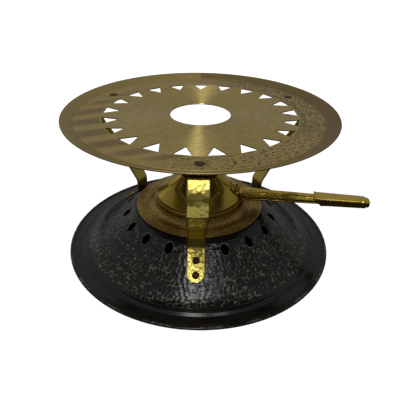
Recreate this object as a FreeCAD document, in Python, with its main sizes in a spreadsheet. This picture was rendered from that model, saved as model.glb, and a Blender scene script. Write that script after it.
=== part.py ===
"""Table rechaud with a lift-out spirit burner, as a parametric FreeCAD document.

Frame: millimetres, +Z up, origin on the stand's vertical axis in the plane of its foot.
-Y is the front, where one leg stands.  Azimuths are measured from the front towards +X.
Pieces that repeat or point outwards are drawn along +X and turned to their azimuth.
"""
import FreeCAD, Part
import math
import os
import Sketcher
from FreeCAD import Placement, Rotation, Vector

# Driving dimensions in millimetres, degrees or counts, by the sheet's alias.
SIZES = {
    # trivet plate
    "plate_top": 120.7, "plate_sheet": 1.3, "plate_radius": 110.0, "plate_flat_radius": 100.3,
    "plate_lip_rise": 3.4, "plate_hole_radius": 24.3, "triangle_count": 21,
    "triangle_apex_radius": 64.6, "triangle_chord_radius": 78.2, "triangle_chord": 13.8,
    # three strap legs
    "leg_count": 3, "strap_width": 14.0, "strap_sheet": 1.6, "tab_inner_radius": 81.5,
    "leg_top_radius": 107.5, "leg_shoulder_radius": 114.5, "leg_shoulder_height": 112.7,
    "leg_knee_radius": 115.8, "leg_knee_height": 97.0, "leg_thigh_radius": 104.5,
    "leg_thigh_height": 83.9, "leg_shin_radius": 72.5, "leg_shin_height": 56.5,
    "leg_ankle_radius": 63.6, "leg_ankle_height": 44.5, "leg_heel_radius": 63.3,
    "leg_toe_radius": 84.3,
    # rivets
    "plate_rivet_radius": 90.0, "plate_rivet_head": 3.5, "plate_rivet_inset": 0.7,
    "leg_rivet_head": 2.95,
    "rivet_shank": 1.6, "leg_rivet_first": 70.6, "leg_rivet_second": 79.4, "burr_sheet": 0.8,
    # base shell
    "shell_sheet": 1.1, "neck_radius": 57.2, "slope_top_radius": 59.0, "slope_top_height": 36.1,
    "slope": 0.8333, "sweep_vertex_radius": 94.4, "sweep_rounding": 70.0,
    "crease_radius": 106.0, "crease_height": 2.4, "brim_height": 1.3, "brim_radius": 112.0,
    "rim_inner_radius": 115.2, "rim_wire_radius": 1.15, "foot_radius": 117.5,
    "opening_radius": 52.0, "seat_height": 37.1, "lip_depth": 5.0,
    "vents_per_bay": 5, "vent_pitch": 20.0, "vent_radius": 65.0, "vent_width": 7.0,
    "vent_length": 10.0,
    # burner, its bowl and cover
    "flange_radius": 56.0, "flange_bottom": 37.4, "flange_sheet": 0.9, "cove_radius": 44.8,
    "wall_foot_radius": 42.6, "wall_radius": 40.2, "cover_top": 44.0, "cover_sheet": 1.0,
    "bowl_radius": 50.4, "bowl_sheet": 0.9, "bowl_bottom": 8.6, "bowl_rounding": 12.0,
    "wick_top": 31.0, "gauze_sheet": 0.5, "gauze_ring_wire": 1.5,
    "port_count": 8, "port_circle": 16.5, "port_radius": 3.0,
    # damper and collar
    "running_gap": 0.3, "damper_sheet": 0.9, "damper_radius": 37.6, "pivot_radius": 2.0,
    "pivot_clearance": 0.05, "pivot_head": 4.6, "collar_radius": 38.4, "collar_inner": 36.3,
    "collar_top": 47.8,
    # hood
    "hood_base_radius": 36.8, "hood_base_height": 48.1, "hood_waist_radius": 27.6,
    "hood_waist_height": 58.4, "hood_mouth_radius": 15.6, "hood_top": 67.0, "hood_sheet": 1.1,
    # handle, drawn along +X
    "handle_azimuth": 83.0, "handle_height": 50.0, "arm_root": 37.4, "arm_tip": 141.0,
    "notch_clearance": 0.5,
    "arm_sheet": 0.9, "arm_root_width": 13.6, "arm_mid": 58.0, "arm_mid_width": 11.4,
    "arm_tip_width": 9.2, "arm_root_depth": 6.4, "arm_tip_depth": 4.2,
    "sleeve_start": 100.5, "sleeve_end": 142.5, "sleeve_sheet": 0.9, "sleeve_gap": 0.35,
    "tongue_end": 146.5, "tongue_width": 8.6, "tongue_sheet": 3.2,
    "bracket_width": 16.0, "bracket_sheet": 1.1, "bracket_tongue_width": 9.0,
    "bracket_top": 57.4, "bracket_low": 52.0, "bracket_rivet_height": 54.4,
    "bracket_rivet_offset": 5.9,
}

FRONT = 0.0
PARTS = "parts"

document = FreeCAD.newDocument("SpiritBurnerStand")
sheet = document.addObject("Spreadsheet::Sheet", "Sizes")
for row, (alias, number) in enumerate(SIZES.items(), start=1):
    sheet.set(f"A{row}", alias)
    sheet.set(f"B{row}", str(number))
    sheet.setAlias(f"B{row}", alias)
document.recompute()


class Size:
    """A number that also keeps the expression which binds it to the sheet."""

    def __init__(self, value, text=None):
        self.value = float(value)
        self.text = text or repr(float(value))

    def __add__(self, other):
        other = as_size(other)
        return Size(self.value + other.value, f"({self.text} + {other.text})")

    def __sub__(self, other):
        other = as_size(other)
        return Size(self.value - other.value, f"({self.text} - {other.text})")

    def __mul__(self, other):
        other = as_size(other)
        return Size(self.value * other.value, f"({self.text} * {other.text})")

    def __truediv__(self, other):
        other = as_size(other)
        return Size(self.value / other.value, f"({self.text} / {other.text})")

    def __neg__(self):
        return Size(-self.value, f"(-{self.text})")


def as_size(number):
    return number if isinstance(number, Size) else Size(number)


def size(alias):
    return Size(SIZES[alias], f"Sizes.{alias}")


def bind(thing, name, number):
    """Set a property and bind it to the sheet."""
    number = as_size(number)
    thing.setExpression(name, number.text)
    return number.value


# ---------------------------------------------------------------- bodies and sketches

def new_body(label):
    body = document.addObject("PartDesign::Body", label)
    body.Label = label
    return body


def plane(body, role):
    for feature in body.Origin.OriginFeatures:
        if feature.Role == role:
            return feature
    raise RuntimeError("no origin plane " + role)


def new_sketch(body, name, role, offset=None):
    sketch = body.newObject("Sketcher::SketchObject", name)
    sketch.AttachmentSupport = (plane(body, role), [""])
    sketch.MapMode = "FlatFace"
    if offset is not None:
        bind(sketch, ".AttachmentOffset.Base.z", offset)
    return sketch


def fix_point(sketch, geometry, position, across, up):
    """Fix a sketch point at (across, up), each bound to the sheet."""
    for kind, number in (("DistanceX", as_size(across)), ("DistanceY", as_size(up))):
        if abs(number.value) < 1e-9:
            axis = -2 if kind == "DistanceX" else -1
            sketch.addConstraint(Sketcher.Constraint("PointOnObject", geometry, position, axis))
            continue
        if number.value > 0:
            ends = (-1, 1, geometry, position)
        else:
            ends = (geometry, position, -1, 1)
            number = -number
        index = sketch.addConstraint(Sketcher.Constraint(kind, *ends, number.value))
        sketch.setExpression(f"Constraints[{index}]", number.text)


def draw_path(sketch, corners, closed=True):
    """Draw straight lines through corners (across, up[, rounding]) with rounded bends."""
    points = [Vector(as_size(c[0]).value, as_size(c[1]).value, 0) for c in corners]
    count = len(corners)
    last = count if closed else count - 1
    cut_start = list(points)
    cut_end = list(points)
    rounded = {}
    for i, corner in enumerate(corners):
        if len(corner) < 3:
            continue
        before = (points[i - 1] - points[i]).normalize()
        after = (points[(i + 1) % count] - points[i]).normalize()
        half = before.getAngle(after) / 2
        rounding = as_size(corner[2])
        reach = rounding.value / math.tan(half)
        cut_end[i] = points[i] + before * reach
        cut_start[i] = points[i] + after * reach
        centre = points[i] + (before + after).normalize() * (rounding.value / math.sin(half))
        rounded[i] = (centre, rounding, before.cross(after).z < 0)
    lines = []
    for i in range(last):
        line = Part.LineSegment(cut_start[i], cut_end[(i + 1) % count])
        lines.append(sketch.addGeometry(line, False))
    for i in range(count):
        incoming = i - 1 if (i > 0 or closed) else None
        outgoing = i if i < last else None
        if i not in rounded:
            if incoming is not None and outgoing is not None:
                join = Sketcher.Constraint("Coincident", lines[incoming], 2, lines[outgoing], 1)
                sketch.addConstraint(join)
            if outgoing is not None:
                fix_point(sketch, lines[outgoing], 1, corners[i][0], corners[i][1])
            else:
                fix_point(sketch, lines[incoming], 2, corners[i][0], corners[i][1])
            continue
        centre, rounding, turns_left = rounded[i]
        first = math.atan2(cut_end[i].y - centre.y, cut_end[i].x - centre.x)
        second = math.atan2(cut_start[i].y - centre.y, cut_start[i].x - centre.x)
        circle = Part.Circle(centre, Vector(0, 0, 1), rounding.value)
        if turns_left:
            arc = sketch.addGeometry(Part.ArcOfCircle(circle, first, second), False)
            start, end = 1, 2
        else:
            arc = sketch.addGeometry(Part.ArcOfCircle(circle, second, first), False)
            start, end = 2, 1
        sketch.addConstraint(Sketcher.Constraint("Tangent", lines[incoming], 2, arc, start))
        sketch.addConstraint(Sketcher.Constraint("Tangent", arc, end, lines[outgoing], 1))
        index = sketch.addConstraint(Sketcher.Constraint("Radius", arc, rounding.value))
        sketch.setExpression(f"Constraints[{index}]", rounding.text)
        corner = sketch.addGeometry(Part.Point(points[i]), True)
        fix_point(sketch, corner, 1, corners[i][0], corners[i][1])
        sketch.addConstraint(Sketcher.Constraint("PointOnObject", corner, 1, lines[incoming]))
        sketch.addConstraint(Sketcher.Constraint("PointOnObject", corner, 1, lines[outgoing]))


def draw_circle(sketch, across, up, radius):
    radius = as_size(radius)
    place = Vector(as_size(across).value, as_size(up).value, 0)
    circle = sketch.addGeometry(Part.Circle(place, Vector(0, 0, 1), radius.value), False)
    fix_point(sketch, circle, 3, across, up)
    index = sketch.addConstraint(Sketcher.Constraint("Radius", circle, radius.value))
    sketch.setExpression(f"Constraints[{index}]", radius.text)


def revolve(body, name, corners):
    """Turn a closed outline of (radius, height[, rounding]) about the vertical axis."""
    sketch = new_sketch(body, name + "_outline", "XZ_Plane")
    draw_path(sketch, corners)
    turned = body.newObject("PartDesign::Revolution", name)
    turned.Profile = sketch
    turned.ReferenceAxis = (sketch, ["V_Axis"])
    turned.Angle = 360
    return turned


def turned_body(label, corners):
    body = new_body(label)
    revolve(body, label + "_turned", corners)
    return body


def pocket_all(body, sketch, name):
    """Cut a sketch right through the body, both ways."""
    document.recompute()
    before = body.Shape.Volume
    pocket = body.newObject("PartDesign::Pocket", name)
    pocket.Profile = sketch
    pocket.Type = 1
    pocket.Midplane = True
    document.recompute()
    if body.Shape.Volume > before - 1e-3:
        raise RuntimeError(name + " cuts nothing")
    return pocket


def pattern(body, features, name, count):
    """Repeat features evenly about the vertical axis."""
    polar = body.newObject("PartDesign::PolarPattern", name)
    polar.Originals = features
    polar.Axis = (plane(body, "Z_Axis"), [""])
    polar.Angle = 360
    bind(polar, "Occurrences", count)
    body.Tip = polar
    document.recompute()
    return polar


def pad_both(body, sketch, name, width):
    pad = body.newObject("PartDesign::Pad", name)
    pad.Profile = sketch
    pad.Midplane = True
    bind(pad, "Length", width)
    return pad


def turn_to(thing, azimuth):
    """Turn a piece drawn along +X to an azimuth measured from the front."""
    thing.Placement = Placement(Vector(0, 0, 0), Rotation(Vector(0, 0, 1), azimuth - 90.0))


def group(label, members):
    """Several like solids as one piece."""
    compound = document.addObject("Part::Compound", label)
    compound.Label = label
    compound.Links = members
    return compound


def leg_azimuths():
    return [FRONT + 360.0 / SIZES["leg_count"] * i for i in range(int(SIZES["leg_count"]))]


# ---------------------------------------------------------------- stand

def slope_height(radius):
    """Height of the shell's straight flank at a radius."""
    return size("slope_top_height") - (as_size(radius) - size("slope_top_radius")) * size("slope")


def flank_normal():
    """Unit normal of the straight flank, outwards and up."""
    length = math.hypot(1.0, SIZES["slope"])
    return SIZES["slope"] / length, 1.0 / length


def base_shell():
    """Hammered sheet dome with a seat for the burner, vents and a dished brim."""
    drop = size("shell_sheet") * 1.3
    sheet_thickness = size("shell_sheet")
    body = turned_body("base_shell", [
        (size("opening_radius"), size("seat_height"), 1.0),
        (size("neck_radius"), size("seat_height"), 2.5),
        (size("slope_top_radius") + 1.0, slope_height(size("slope_top_radius") + 1.0)),
        (size("sweep_vertex_radius"), slope_height(size("sweep_vertex_radius")),
         size("sweep_rounding")),
        (size("crease_radius"), size("crease_height")),
        (size("brim_radius"), size("brim_height")),
        (size("rim_inner_radius"), size("brim_height")),
        (size("rim_inner_radius"), size("brim_height") - 1.0),
        (size("brim_radius"), size("brim_height") - 1.0),
        (size("crease_radius"), size("crease_height") - sheet_thickness),
        (size("sweep_vertex_radius"), slope_height(size("sweep_vertex_radius")) - drop,
         size("sweep_rounding") - 10.0),
        (size("slope_top_radius") + 1.0, slope_height(size("slope_top_radius") + 1.0) - drop),
        (size("neck_radius") - 0.4, size("seat_height") - sheet_thickness, 2.0),
        (size("opening_radius") + sheet_thickness, size("seat_height") - sheet_thickness),
        (size("opening_radius") + sheet_thickness, size("seat_height") - size("lip_depth")),
        (size("opening_radius"), size("seat_height") - size("lip_depth")),
    ])
    # Each vent is an oval whose long side runs down the flank; seen from above it is shorter.
    run = size("vent_length") * flank_normal()[1]
    half_across = size("vent_width") / 2
    start = size("vent_radius") - run / 2
    end = size("vent_radius") + run / 2
    vents = []
    for number in range(1, int(SIZES["vents_per_bay"]) + 1):
        sketch = new_sketch(body, f"vent_outline_{number}", "XY_Plane")
        draw_path(sketch, [
            (start, -half_across, 2.7),
            (end, -half_across, 2.7),
            (end, half_across, 2.7),
            (start, half_across, 2.7),
        ])
        turn = number * SIZES["vent_pitch"] - 90.0
        sketch.AttachmentOffset = Placement(Vector(0, 0, 0), Rotation(Vector(0, 0, 1), turn))
        vents.append(pocket_all(body, sketch, f"vent_{number}"))
    # The five vents of one bay repeat between each pair of legs.
    pattern(body, vents, "vents", size("leg_count"))
    return body


def rim_bead():
    """Wired edge round the foot, with a narrow flat underside."""
    wire = size("rim_wire_radius")
    centre = size("foot_radius") - wire
    return turned_body("rim_bead", [
        (size("rim_inner_radius"), 0.0),
        (centre + wire * 0.45, 0.0),
        (size("foot_radius"), wire * 0.55, 0.35),
        (size("foot_radius"), wire * 1.35, 0.6),
        (centre + wire * 0.5, wire * 1.85, 0.5),
        (size("rim_inner_radius") + 0.45, wire * 1.85, 0.4),
        (size("rim_inner_radius"), wire * 1.45),
    ])


def trivet_plate():
    """Round plate with a flared rim, a centre hole and a ring of triangular cut-outs."""
    top = size("plate_top")
    bottom = top - size("plate_sheet")
    lip = top + size("plate_lip_rise")
    body = turned_body("trivet_plate", [
        (size("plate_hole_radius"), bottom),
        (size("plate_flat_radius") + 0.3, bottom, 6.0),
        (size("plate_radius") - 0.35, lip - 1.15, 0.5),
        (size("plate_radius"), lip - 0.35, 0.45),
        (size("plate_radius") - 0.75, lip, 0.5),
        (size("plate_flat_radius"), top, 5.0),
        (size("plate_hole_radius"), top),
    ])
    half_chord = size("triangle_chord") / 2
    sketch = new_sketch(body, "triangle_outline", "XY_Plane")
    draw_path(sketch, [
        (-size("triangle_apex_radius"), 0.0),
        (-size("triangle_chord_radius"), half_chord),
        (-size("triangle_chord_radius"), -half_chord),
    ])
    # The first triangle lies at the back, opposite the front leg.
    sketch.AttachmentOffset = Placement(Vector(0, 0, 0), Rotation(Vector(0, 0, 1), -90.0))
    triangle = pocket_all(body, sketch, "triangle")
    pattern(body, [triangle], "triangles", size("triangle_count"))
    return body


def strap_corners():
    """Centre line of a leg strap, from its tab under the plate to its toe on the shell."""
    half = size("strap_sheet") / 2
    tab_height = size("plate_top") - size("plate_sheet") - half
    lift = half * math.hypot(1.0, SIZES["slope"])
    return [
        (size("tab_inner_radius"), tab_height),
        (size("leg_top_radius"), tab_height, 3.0),
        (size("leg_shoulder_radius"), size("leg_shoulder_height"), 6.0),
        (size("leg_knee_radius"), size("leg_knee_height"), 1.6),
        (size("leg_thigh_radius"), size("leg_thigh_height"), 30.0),
        (size("leg_shin_radius"), size("leg_shin_height"), 12.0),
        (size("leg_ankle_radius"), size("leg_ankle_height"), 8.0),
        (size("leg_heel_radius"), slope_height(size("leg_heel_radius")) + lift, 2.6),
        (size("leg_toe_radius"), slope_height(size("leg_toe_radius")) + lift),
    ]


def leg(label, azimuth):
    """Strap leg: a flat bar that bows out beyond the plate, with rounded ends."""
    body = new_body(label)
    spine = new_sketch(body, label + "_line", "XZ_Plane")
    draw_path(spine, strap_corners(), closed=False)
    section = new_sketch(body, label + "_section", "YZ_Plane", size("tab_inner_radius"))
    half = size("strap_width") / 2
    tab_top = size("plate_top") - size("plate_sheet")
    draw_path(section, [
        (-half, tab_top - size("strap_sheet")),
        (half, tab_top - size("strap_sheet")),
        (half, tab_top),
        (-half, tab_top),
    ])
    pipe = body.newObject("PartDesign::AdditivePipe", label + "_strap")
    pipe.Profile = section
    pipe.Spine = spine
    document.recompute()
    # Round the corners of the toe and of the tab: the short edges across the sheet.
    corners = []
    for number, edge in enumerate(body.Shape.Edges, start=1):
        if abs(edge.Length - SIZES["strap_sheet"]) < 1e-3:
            corners.append(f"Edge{number}")
    rounded = body.newObject("PartDesign::Fillet", label + "_corners")
    rounded.Base = (pipe, corners)
    bind(rounded, "Radius", size("strap_width") * 0.33)
    body.Tip = rounded
    turn_to(body, azimuth)
    return body


def rivet(name, head_radius, head_height, grip, tail_radius, tail_height):
    """Rivet standing on the origin: head above, shank down through the grip, tail below."""
    body = new_body(name)
    shank = size("rivet_shank")
    revolve(body, name + "_turned", [
        (0.0, head_height),
        (head_radius * 0.62, head_height, 0.8),
        (head_radius, head_height * 0.25),
        (head_radius, 0.0),
        (shank, 0.0),
        (shank, -grip),
        (tail_radius, -grip),
        (tail_radius * 0.85, -(grip + tail_height)),
        (0.0, -(grip + tail_height)),
    ])
    return body


def plate_rivets():
    """One rivet down through the plate and each leg's tab, its flat head let into the plate."""
    members = []
    head = size("plate_rivet_inset")
    for number, azimuth in enumerate(leg_azimuths()):
        one = rivet(f"plate_rivet_{number}", size("plate_rivet_head"), head,
                    size("plate_sheet") + size("strap_sheet") - head,
                    size("rivet_shank") + 0.9, Size(0.9))
        angle = math.radians(azimuth)
        radius = SIZES["plate_rivet_radius"]
        one.Placement = Placement(
            Vector(radius * math.sin(angle), -radius * math.cos(angle),
                   SIZES["plate_top"] - head.value),
            Rotation())
        members.append(one)
    return group("plate_rivets", members)


def flank_place(azimuth, radius, lift):
    """Placement on the shell's flank: local Z along the flank's normal, lifted off it."""
    outwards, upwards = flank_normal()
    angle = math.radians(azimuth)
    height = slope_height(radius).value
    radial = radius + lift * outwards
    lean = math.degrees(math.atan2(outwards, upwards))
    turn = Rotation(Vector(0, 0, 1), azimuth - 90.0).multiply(Rotation(Vector(0, 1, 0), lean))
    place = Vector(radial * math.sin(angle), -radial * math.cos(angle), height + lift * upwards)
    return Placement(place, turn)


def flank_sheet():
    """Thickness of the shell along its flank's normal."""
    return size("shell_sheet") * 1.3 * flank_normal()[1]


def leg_rivets():
    """Two domed rivets through each leg's foot and the shell, closed over burrs inside."""
    members = []
    for azimuth in leg_azimuths():
        for alias in ("leg_rivet_first", "leg_rivet_second"):
            grip = size("strap_sheet") + flank_sheet() + size("burr_sheet") + 0.1
            one = rivet(f"leg_rivet_{len(members)}", size("leg_rivet_head"), Size(1.1), grip,
                        size("rivet_shank") + 0.7, Size(0.8))
            one.Placement = flank_place(azimuth, SIZES[alias], SIZES["strap_sheet"] + 0.02)
            members.append(one)
    return group("leg_rivets", members)


def rivet_burrs():
    """Round burrs inside the shell, one under the tail of each leg rivet."""
    members = []
    for azimuth in leg_azimuths():
        for alias in ("leg_rivet_first", "leg_rivet_second"):
            shank = size("rivet_shank")
            one = turned_body(f"rivet_burr_{len(members)}", [
                (shank, 0.0),
                (shank + 2.0, 0.0),
                (shank + 2.0, size("burr_sheet")),
                (shank, size("burr_sheet")),
            ])
            sink = -(flank_sheet().value + SIZES["burr_sheet"] + 0.05)
            one.Placement = flank_place(azimuth, SIZES[alias], sink)
            members.append(one)
    return group("rivet_burrs", members)


# ---------------------------------------------------------------- burner

def burner_cover():
    """Spun cover: beaded flange, cove, raised wall and a flat top with vapour ports."""
    bottom = size("flange_bottom")
    top = bottom + size("flange_sheet")
    thickness = size("cover_sheet")
    body = turned_body("burner_cover", [
        (size("flange_radius") - 0.5, bottom),
        (size("flange_radius"), bottom + 0.4, 0.3),
        (size("flange_radius"), top + 0.1, 0.35),
        (size("flange_radius") - 1.0, top + 0.15, 0.4),
        (size("flange_radius") - 1.4, top - 0.1),
        (size("cove_radius") + 2.6, top + 0.3, 3.0),
        (size("cove_radius"), top, 1.6),
        (size("wall_foot_radius"), top + 1.1, 1.4),
        (size("wall_radius"), top + 2.9, 3.0),
        (size("wall_radius"), size("cover_top"), 0.5),
        (size("pivot_radius"), size("cover_top")),
        (size("pivot_radius"), size("cover_top") - thickness),
        (size("wall_radius") - thickness, size("cover_top") - thickness),
        (size("wall_radius") - thickness, bottom + 2.6),
        (size("wall_foot_radius") - 0.6, bottom),
    ])
    sketch = new_sketch(body, "port_outline", "XY_Plane")
    draw_circle(sketch, size("port_circle"), 0.0, size("port_radius"))
    port = pocket_all(body, sketch, "port")
    pattern(body, [port], "ports", size("port_count"))
    return body


def reservoir_bowl():
    """Spun spirit bowl soldered under the cover, hanging in the shell's opening."""
    wall = size("bowl_sheet")
    floor = size("bowl_bottom")
    return turned_body("reservoir_bowl", [
        (0.0, floor),
        (size("bowl_radius"), floor, size("bowl_rounding")),
        (size("bowl_radius"), size("flange_bottom")),
        (size("bowl_radius") - wall, size("flange_bottom")),
        (size("bowl_radius") - wall, floor + wall, size("bowl_rounding") - wall),
        (0.0, floor + wall),
    ])


def wick_pad():
    """Absorbent pad that fills the bowl."""
    wall = size("bowl_sheet") + 0.15
    floor = size("bowl_bottom") + wall
    return turned_body("wick_pad", [
        (0.0, floor),
        (size("bowl_radius") - wall, floor, size("bowl_rounding") - wall),
        (size("bowl_radius") - wall, size("wick_top")),
        (0.0, size("wick_top")),
    ])


def wick_gauze():
    """Disc of wire gauze laid over the pad."""
    return turned_body("wick_gauze", [
        (0.0, size("wick_top")),
        (size("bowl_radius") - 1.1, size("wick_top")),
        (size("bowl_radius") - 1.1, size("wick_top") + size("gauze_sheet")),
        (0.0, size("wick_top") + size("gauze_sheet")),
    ])


def gauze_ring():
    """Wire ring that holds the gauze down, cut open like a spring clip."""
    wire = size("gauze_ring_wire")
    low = size("wick_top") + size("gauze_sheet")
    outer = size("bowl_radius") - size("bowl_sheet") - 0.1
    body = turned_body("gauze_ring", [
        (outer - wire, low),
        (outer, low),
        (outer, low + wire),
        (outer - wire, low + wire),
    ])
    sketch = new_sketch(body, "ring_gap_outline", "XY_Plane")
    draw_path(sketch, [
        (40.0, 2.0),
        (55.0, 2.0),
        (55.0, -2.0),
        (40.0, -2.0),
    ])
    pocket_all(body, sketch, "ring_gap")
    return body


def damper_pivot():
    """Shouldered rivet on which the damper disc turns."""
    shoulder = size("pivot_radius")
    low = size("cover_top") - size("cover_sheet")
    top = size("cover_top") + size("running_gap") * 2 + size("damper_sheet")
    return turned_body("damper_pivot", [
        (0.0, low - 0.8),
        (shoulder + 1.2, low - 0.8),
        (shoulder + 1.2, low),
        (shoulder, low),
        (shoulder, top),
        (size("pivot_head"), top),
        (size("pivot_head"), top + 0.7),
        (size("pivot_head") * 0.6, top + 1.3, 0.8),
        (0.0, top + 1.3),
    ])


# ---------------------------------------------------------------- regulator

def damper_disc():
    """Disc over the cover; turning it brings its ports over the vapour ports or shuts them."""
    low = size("cover_top") + size("running_gap")
    bore = size("pivot_radius") + size("pivot_clearance")
    body = turned_body("damper_disc", [
        (bore, low),
        (size("damper_radius"), low),
        (size("damper_radius"), low + size("damper_sheet")),
        (bore, low + size("damper_sheet")),
    ])
    sketch = new_sketch(body, "damper_port_outline", "XY_Plane")
    draw_circle(sketch, size("port_circle"), 0.0, size("port_radius"))
    port = pocket_all(body, sketch, "damper_port")
    pattern(body, [port], "damper_ports", size("port_count"))
    return body


def knurled_collar():
    """Collar on the damper disc that carries the hood, with a groove under its knurl."""
    low = size("cover_top") + size("running_gap") + size("damper_sheet")
    middle = (low + size("collar_top")) / 2
    return turned_body("knurled_collar", [
        (size("collar_inner"), low),
        (size("collar_radius") - 0.3, low),
        (size("collar_radius"), low + 0.3),
        (size("collar_radius"), middle - 0.45),
        (size("collar_radius") - 0.5, middle - 0.25),
        (size("collar_radius") - 0.5, middle + 0.05),
        (size("collar_radius"), middle + 0.25, 0.2),
        (size("collar_radius"), size("collar_top"), 0.5),
        (size("collar_inner"), size("collar_top")),
    ])


# ---------------------------------------------------------------- hood and handle

def hood_cone():
    """Conical hood: rolled foot, spigot in the collar, straight flank, open flame mouth."""
    thickness = size("hood_sheet")
    low = size("hood_base_height")
    spigot = size("collar_inner") - 0.35
    return turned_body("hood_cone", [
        (spigot - thickness, size("collar_top") - 1.8),
        (spigot, size("collar_top") - 1.8),
        (spigot, low),
        (size("hood_base_radius") + 0.3, low, 0.4),
        (size("hood_base_radius") + 0.2, low + 0.95, 0.5),
        (size("hood_waist_radius"), size("hood_waist_height"), 40.0),
        (size("hood_mouth_radius") + 0.9, size("hood_top"), 0.8),
        (size("hood_mouth_radius"), size("hood_top"), 0.6),
        (size("hood_mouth_radius"), size("hood_top") - 1.5),
        (size("hood_waist_radius") - 0.8, size("hood_waist_height") - thickness, 38.0),
        (spigot - thickness, low + 0.2),
    ])


def cone_slope():
    """Unit direction up the hood's flank, in the (radius, height) plane."""
    across = SIZES["hood_base_radius"] + 0.2 - SIZES["hood_waist_radius"]
    rise = SIZES["hood_waist_height"] - (SIZES["hood_base_height"] + 0.95)
    length = math.hypot(across, rise)
    return -across / length, rise / length


def off_flank(height, lift):
    """Point lifted squarely off the point of the hood's flank at a height."""
    along = cone_slope()
    rise = (height - SIZES["hood_base_height"] - 0.95) / along[1]
    across = size("hood_base_radius") + 0.2 + (rise * along[0] + lift * along[1])
    return across, as_size(height - lift * along[0])


def level_with(height, lift):
    """Point at a height on the line that runs parallel to the hood's flank, off it by lift."""
    along = cone_slope()
    rise = (height - SIZES["hood_base_height"] - 0.95) / along[1]
    across = size("hood_base_radius") + 0.2 + (rise * along[0] + lift / along[1])
    return across, as_size(height)


def handle_bracket():
    """Tab riveted to the hood's flank, with a narrower tongue that runs out inside the arm."""
    thickness = SIZES["bracket_sheet"]
    near = 0.25
    far = near + thickness
    tongue_top = size("handle_height") + size("arm_root_depth") / 2 - size("arm_sheet") - 0.3
    tongue_low = tongue_top - thickness
    tongue_end = size("arm_root") + 9.0
    body = new_body("handle_bracket")
    tab = new_sketch(body, "tab_outline", "XZ_Plane")
    draw_path(tab, [
        off_flank(SIZES["bracket_top"], near),
        off_flank(SIZES["bracket_low"], near),
        off_flank(SIZES["bracket_low"], far),
        off_flank(SIZES["bracket_top"], far),
    ])
    pad = pad_both(body, tab, "tab_pad", size("bracket_width"))
    document.recompute()
    corners = []
    for number, edge in enumerate(body.Shape.Edges, start=1):
        if edge.Length < thickness * 1.1 and edge.CenterOfMass.z > SIZES["bracket_top"]:
            corners.append(f"Edge{number}")
    rounded = body.newObject("PartDesign::Fillet", "tab_corners")
    rounded.Base = (pad, corners)
    bind(rounded, "Radius", Size(2.2))
    tongue = new_sketch(body, "tongue_bend_outline", "XZ_Plane")
    draw_path(tongue, [
        off_flank(SIZES["bracket_top"] - 3.0, near),
        (level_with(tongue_low.value, near)[0], tongue_low),
        (tongue_end, tongue_low),
        (tongue_end, tongue_top),
        (level_with(tongue_top.value, far)[0], tongue_top),
        off_flank(SIZES["bracket_top"] - 3.0, far),
    ])
    body.Tip = pad_both(body, tongue, "tongue_bend", size("bracket_tongue_width"))
    turn_to(body, SIZES["handle_azimuth"])
    return body


def bracket_rivets():
    """Two small rivets side by side through the bracket and the hood."""
    along = cone_slope()
    lean = math.degrees(math.atan2(along[1], -along[0]))
    base_height = SIZES["hood_base_height"] + 0.95
    height = SIZES["bracket_rivet_height"]
    lift = 0.25 + SIZES["bracket_sheet"]
    radius = SIZES["hood_base_radius"] + 0.2 + (height - base_height) / along[1] * along[0]
    spin = Rotation(Vector(0, 0, 1), SIZES["handle_azimuth"] - 90.0)
    members = []
    for side in (-SIZES["bracket_rivet_offset"], SIZES["bracket_rivet_offset"]):
        one = new_body(f"bracket_rivet_{len(members)}")
        revolve(one, f"bracket_rivet_turned_{len(members)}", [
            (0.0, 0.7),
            (0.8, 0.7, 0.4),
            (1.5, 0.02),
            (0.85, 0.02),
            (0.85, -3.0),
            (1.3, -3.0),
            (1.3, -3.5),
            (0.0, -3.5),
        ])
        place = Vector(radius + lift * along[1], side, height - lift * along[0])
        turn = spin.multiply(Rotation(Vector(0, 1, 0), lean))
        one.Placement = Placement(spin.multVec(place), turn)
        members.append(one)
    return group("bracket_rivets", members)


def channel_section(body, name, across, width, depth, sheet_gauge, open_below):
    """Section of the arm or sleeve in the plane across the handle at a radius."""
    sketch = new_sketch(body, name, "YZ_Plane", across)
    middle = size("handle_height")
    half_width = as_size(width) / 2
    half_depth = as_size(depth) / 2
    if open_below:
        draw_path(sketch, [
            (-half_width, middle - half_depth),
            (-half_width, middle + half_depth, half_depth * 0.55),
            (half_width, middle + half_depth, half_depth * 0.55),
            (half_width, middle - half_depth),
            (half_width - sheet_gauge, middle - half_depth),
            (half_width - sheet_gauge, middle + half_depth - sheet_gauge, half_depth * 0.3),
            (sheet_gauge - half_width, middle + half_depth - sheet_gauge, half_depth * 0.3),
            (sheet_gauge - half_width, middle - half_depth),
        ])
    else:
        draw_path(sketch, [
            (-half_width, middle - half_depth, half_depth * 0.35),
            (-half_width, middle + half_depth, half_depth * 0.55),
            (half_width, middle + half_depth, half_depth * 0.55),
            (half_width, middle - half_depth, half_depth * 0.35),
        ])
    return sketch


def loft(body, kind, name, sections):
    piece = body.newObject("PartDesign::" + kind, name)
    piece.Profile = sections[0]
    piece.Sections = sections[1:]
    piece.Ruled = True
    return piece


def arm_width(across):
    """Width of the arm beyond its root, narrowing evenly to the tip."""
    share = (as_size(across) - size("arm_mid")) / (size("arm_tip") - size("arm_mid"))
    return size("arm_mid_width") - (size("arm_mid_width") - size("arm_tip_width")) * share


def arm_depth(across):
    share = (as_size(across) - size("arm_root")) / (size("arm_tip") - size("arm_root"))
    return size("arm_root_depth") - (size("arm_root_depth") - size("arm_tip_depth")) * share


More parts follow.
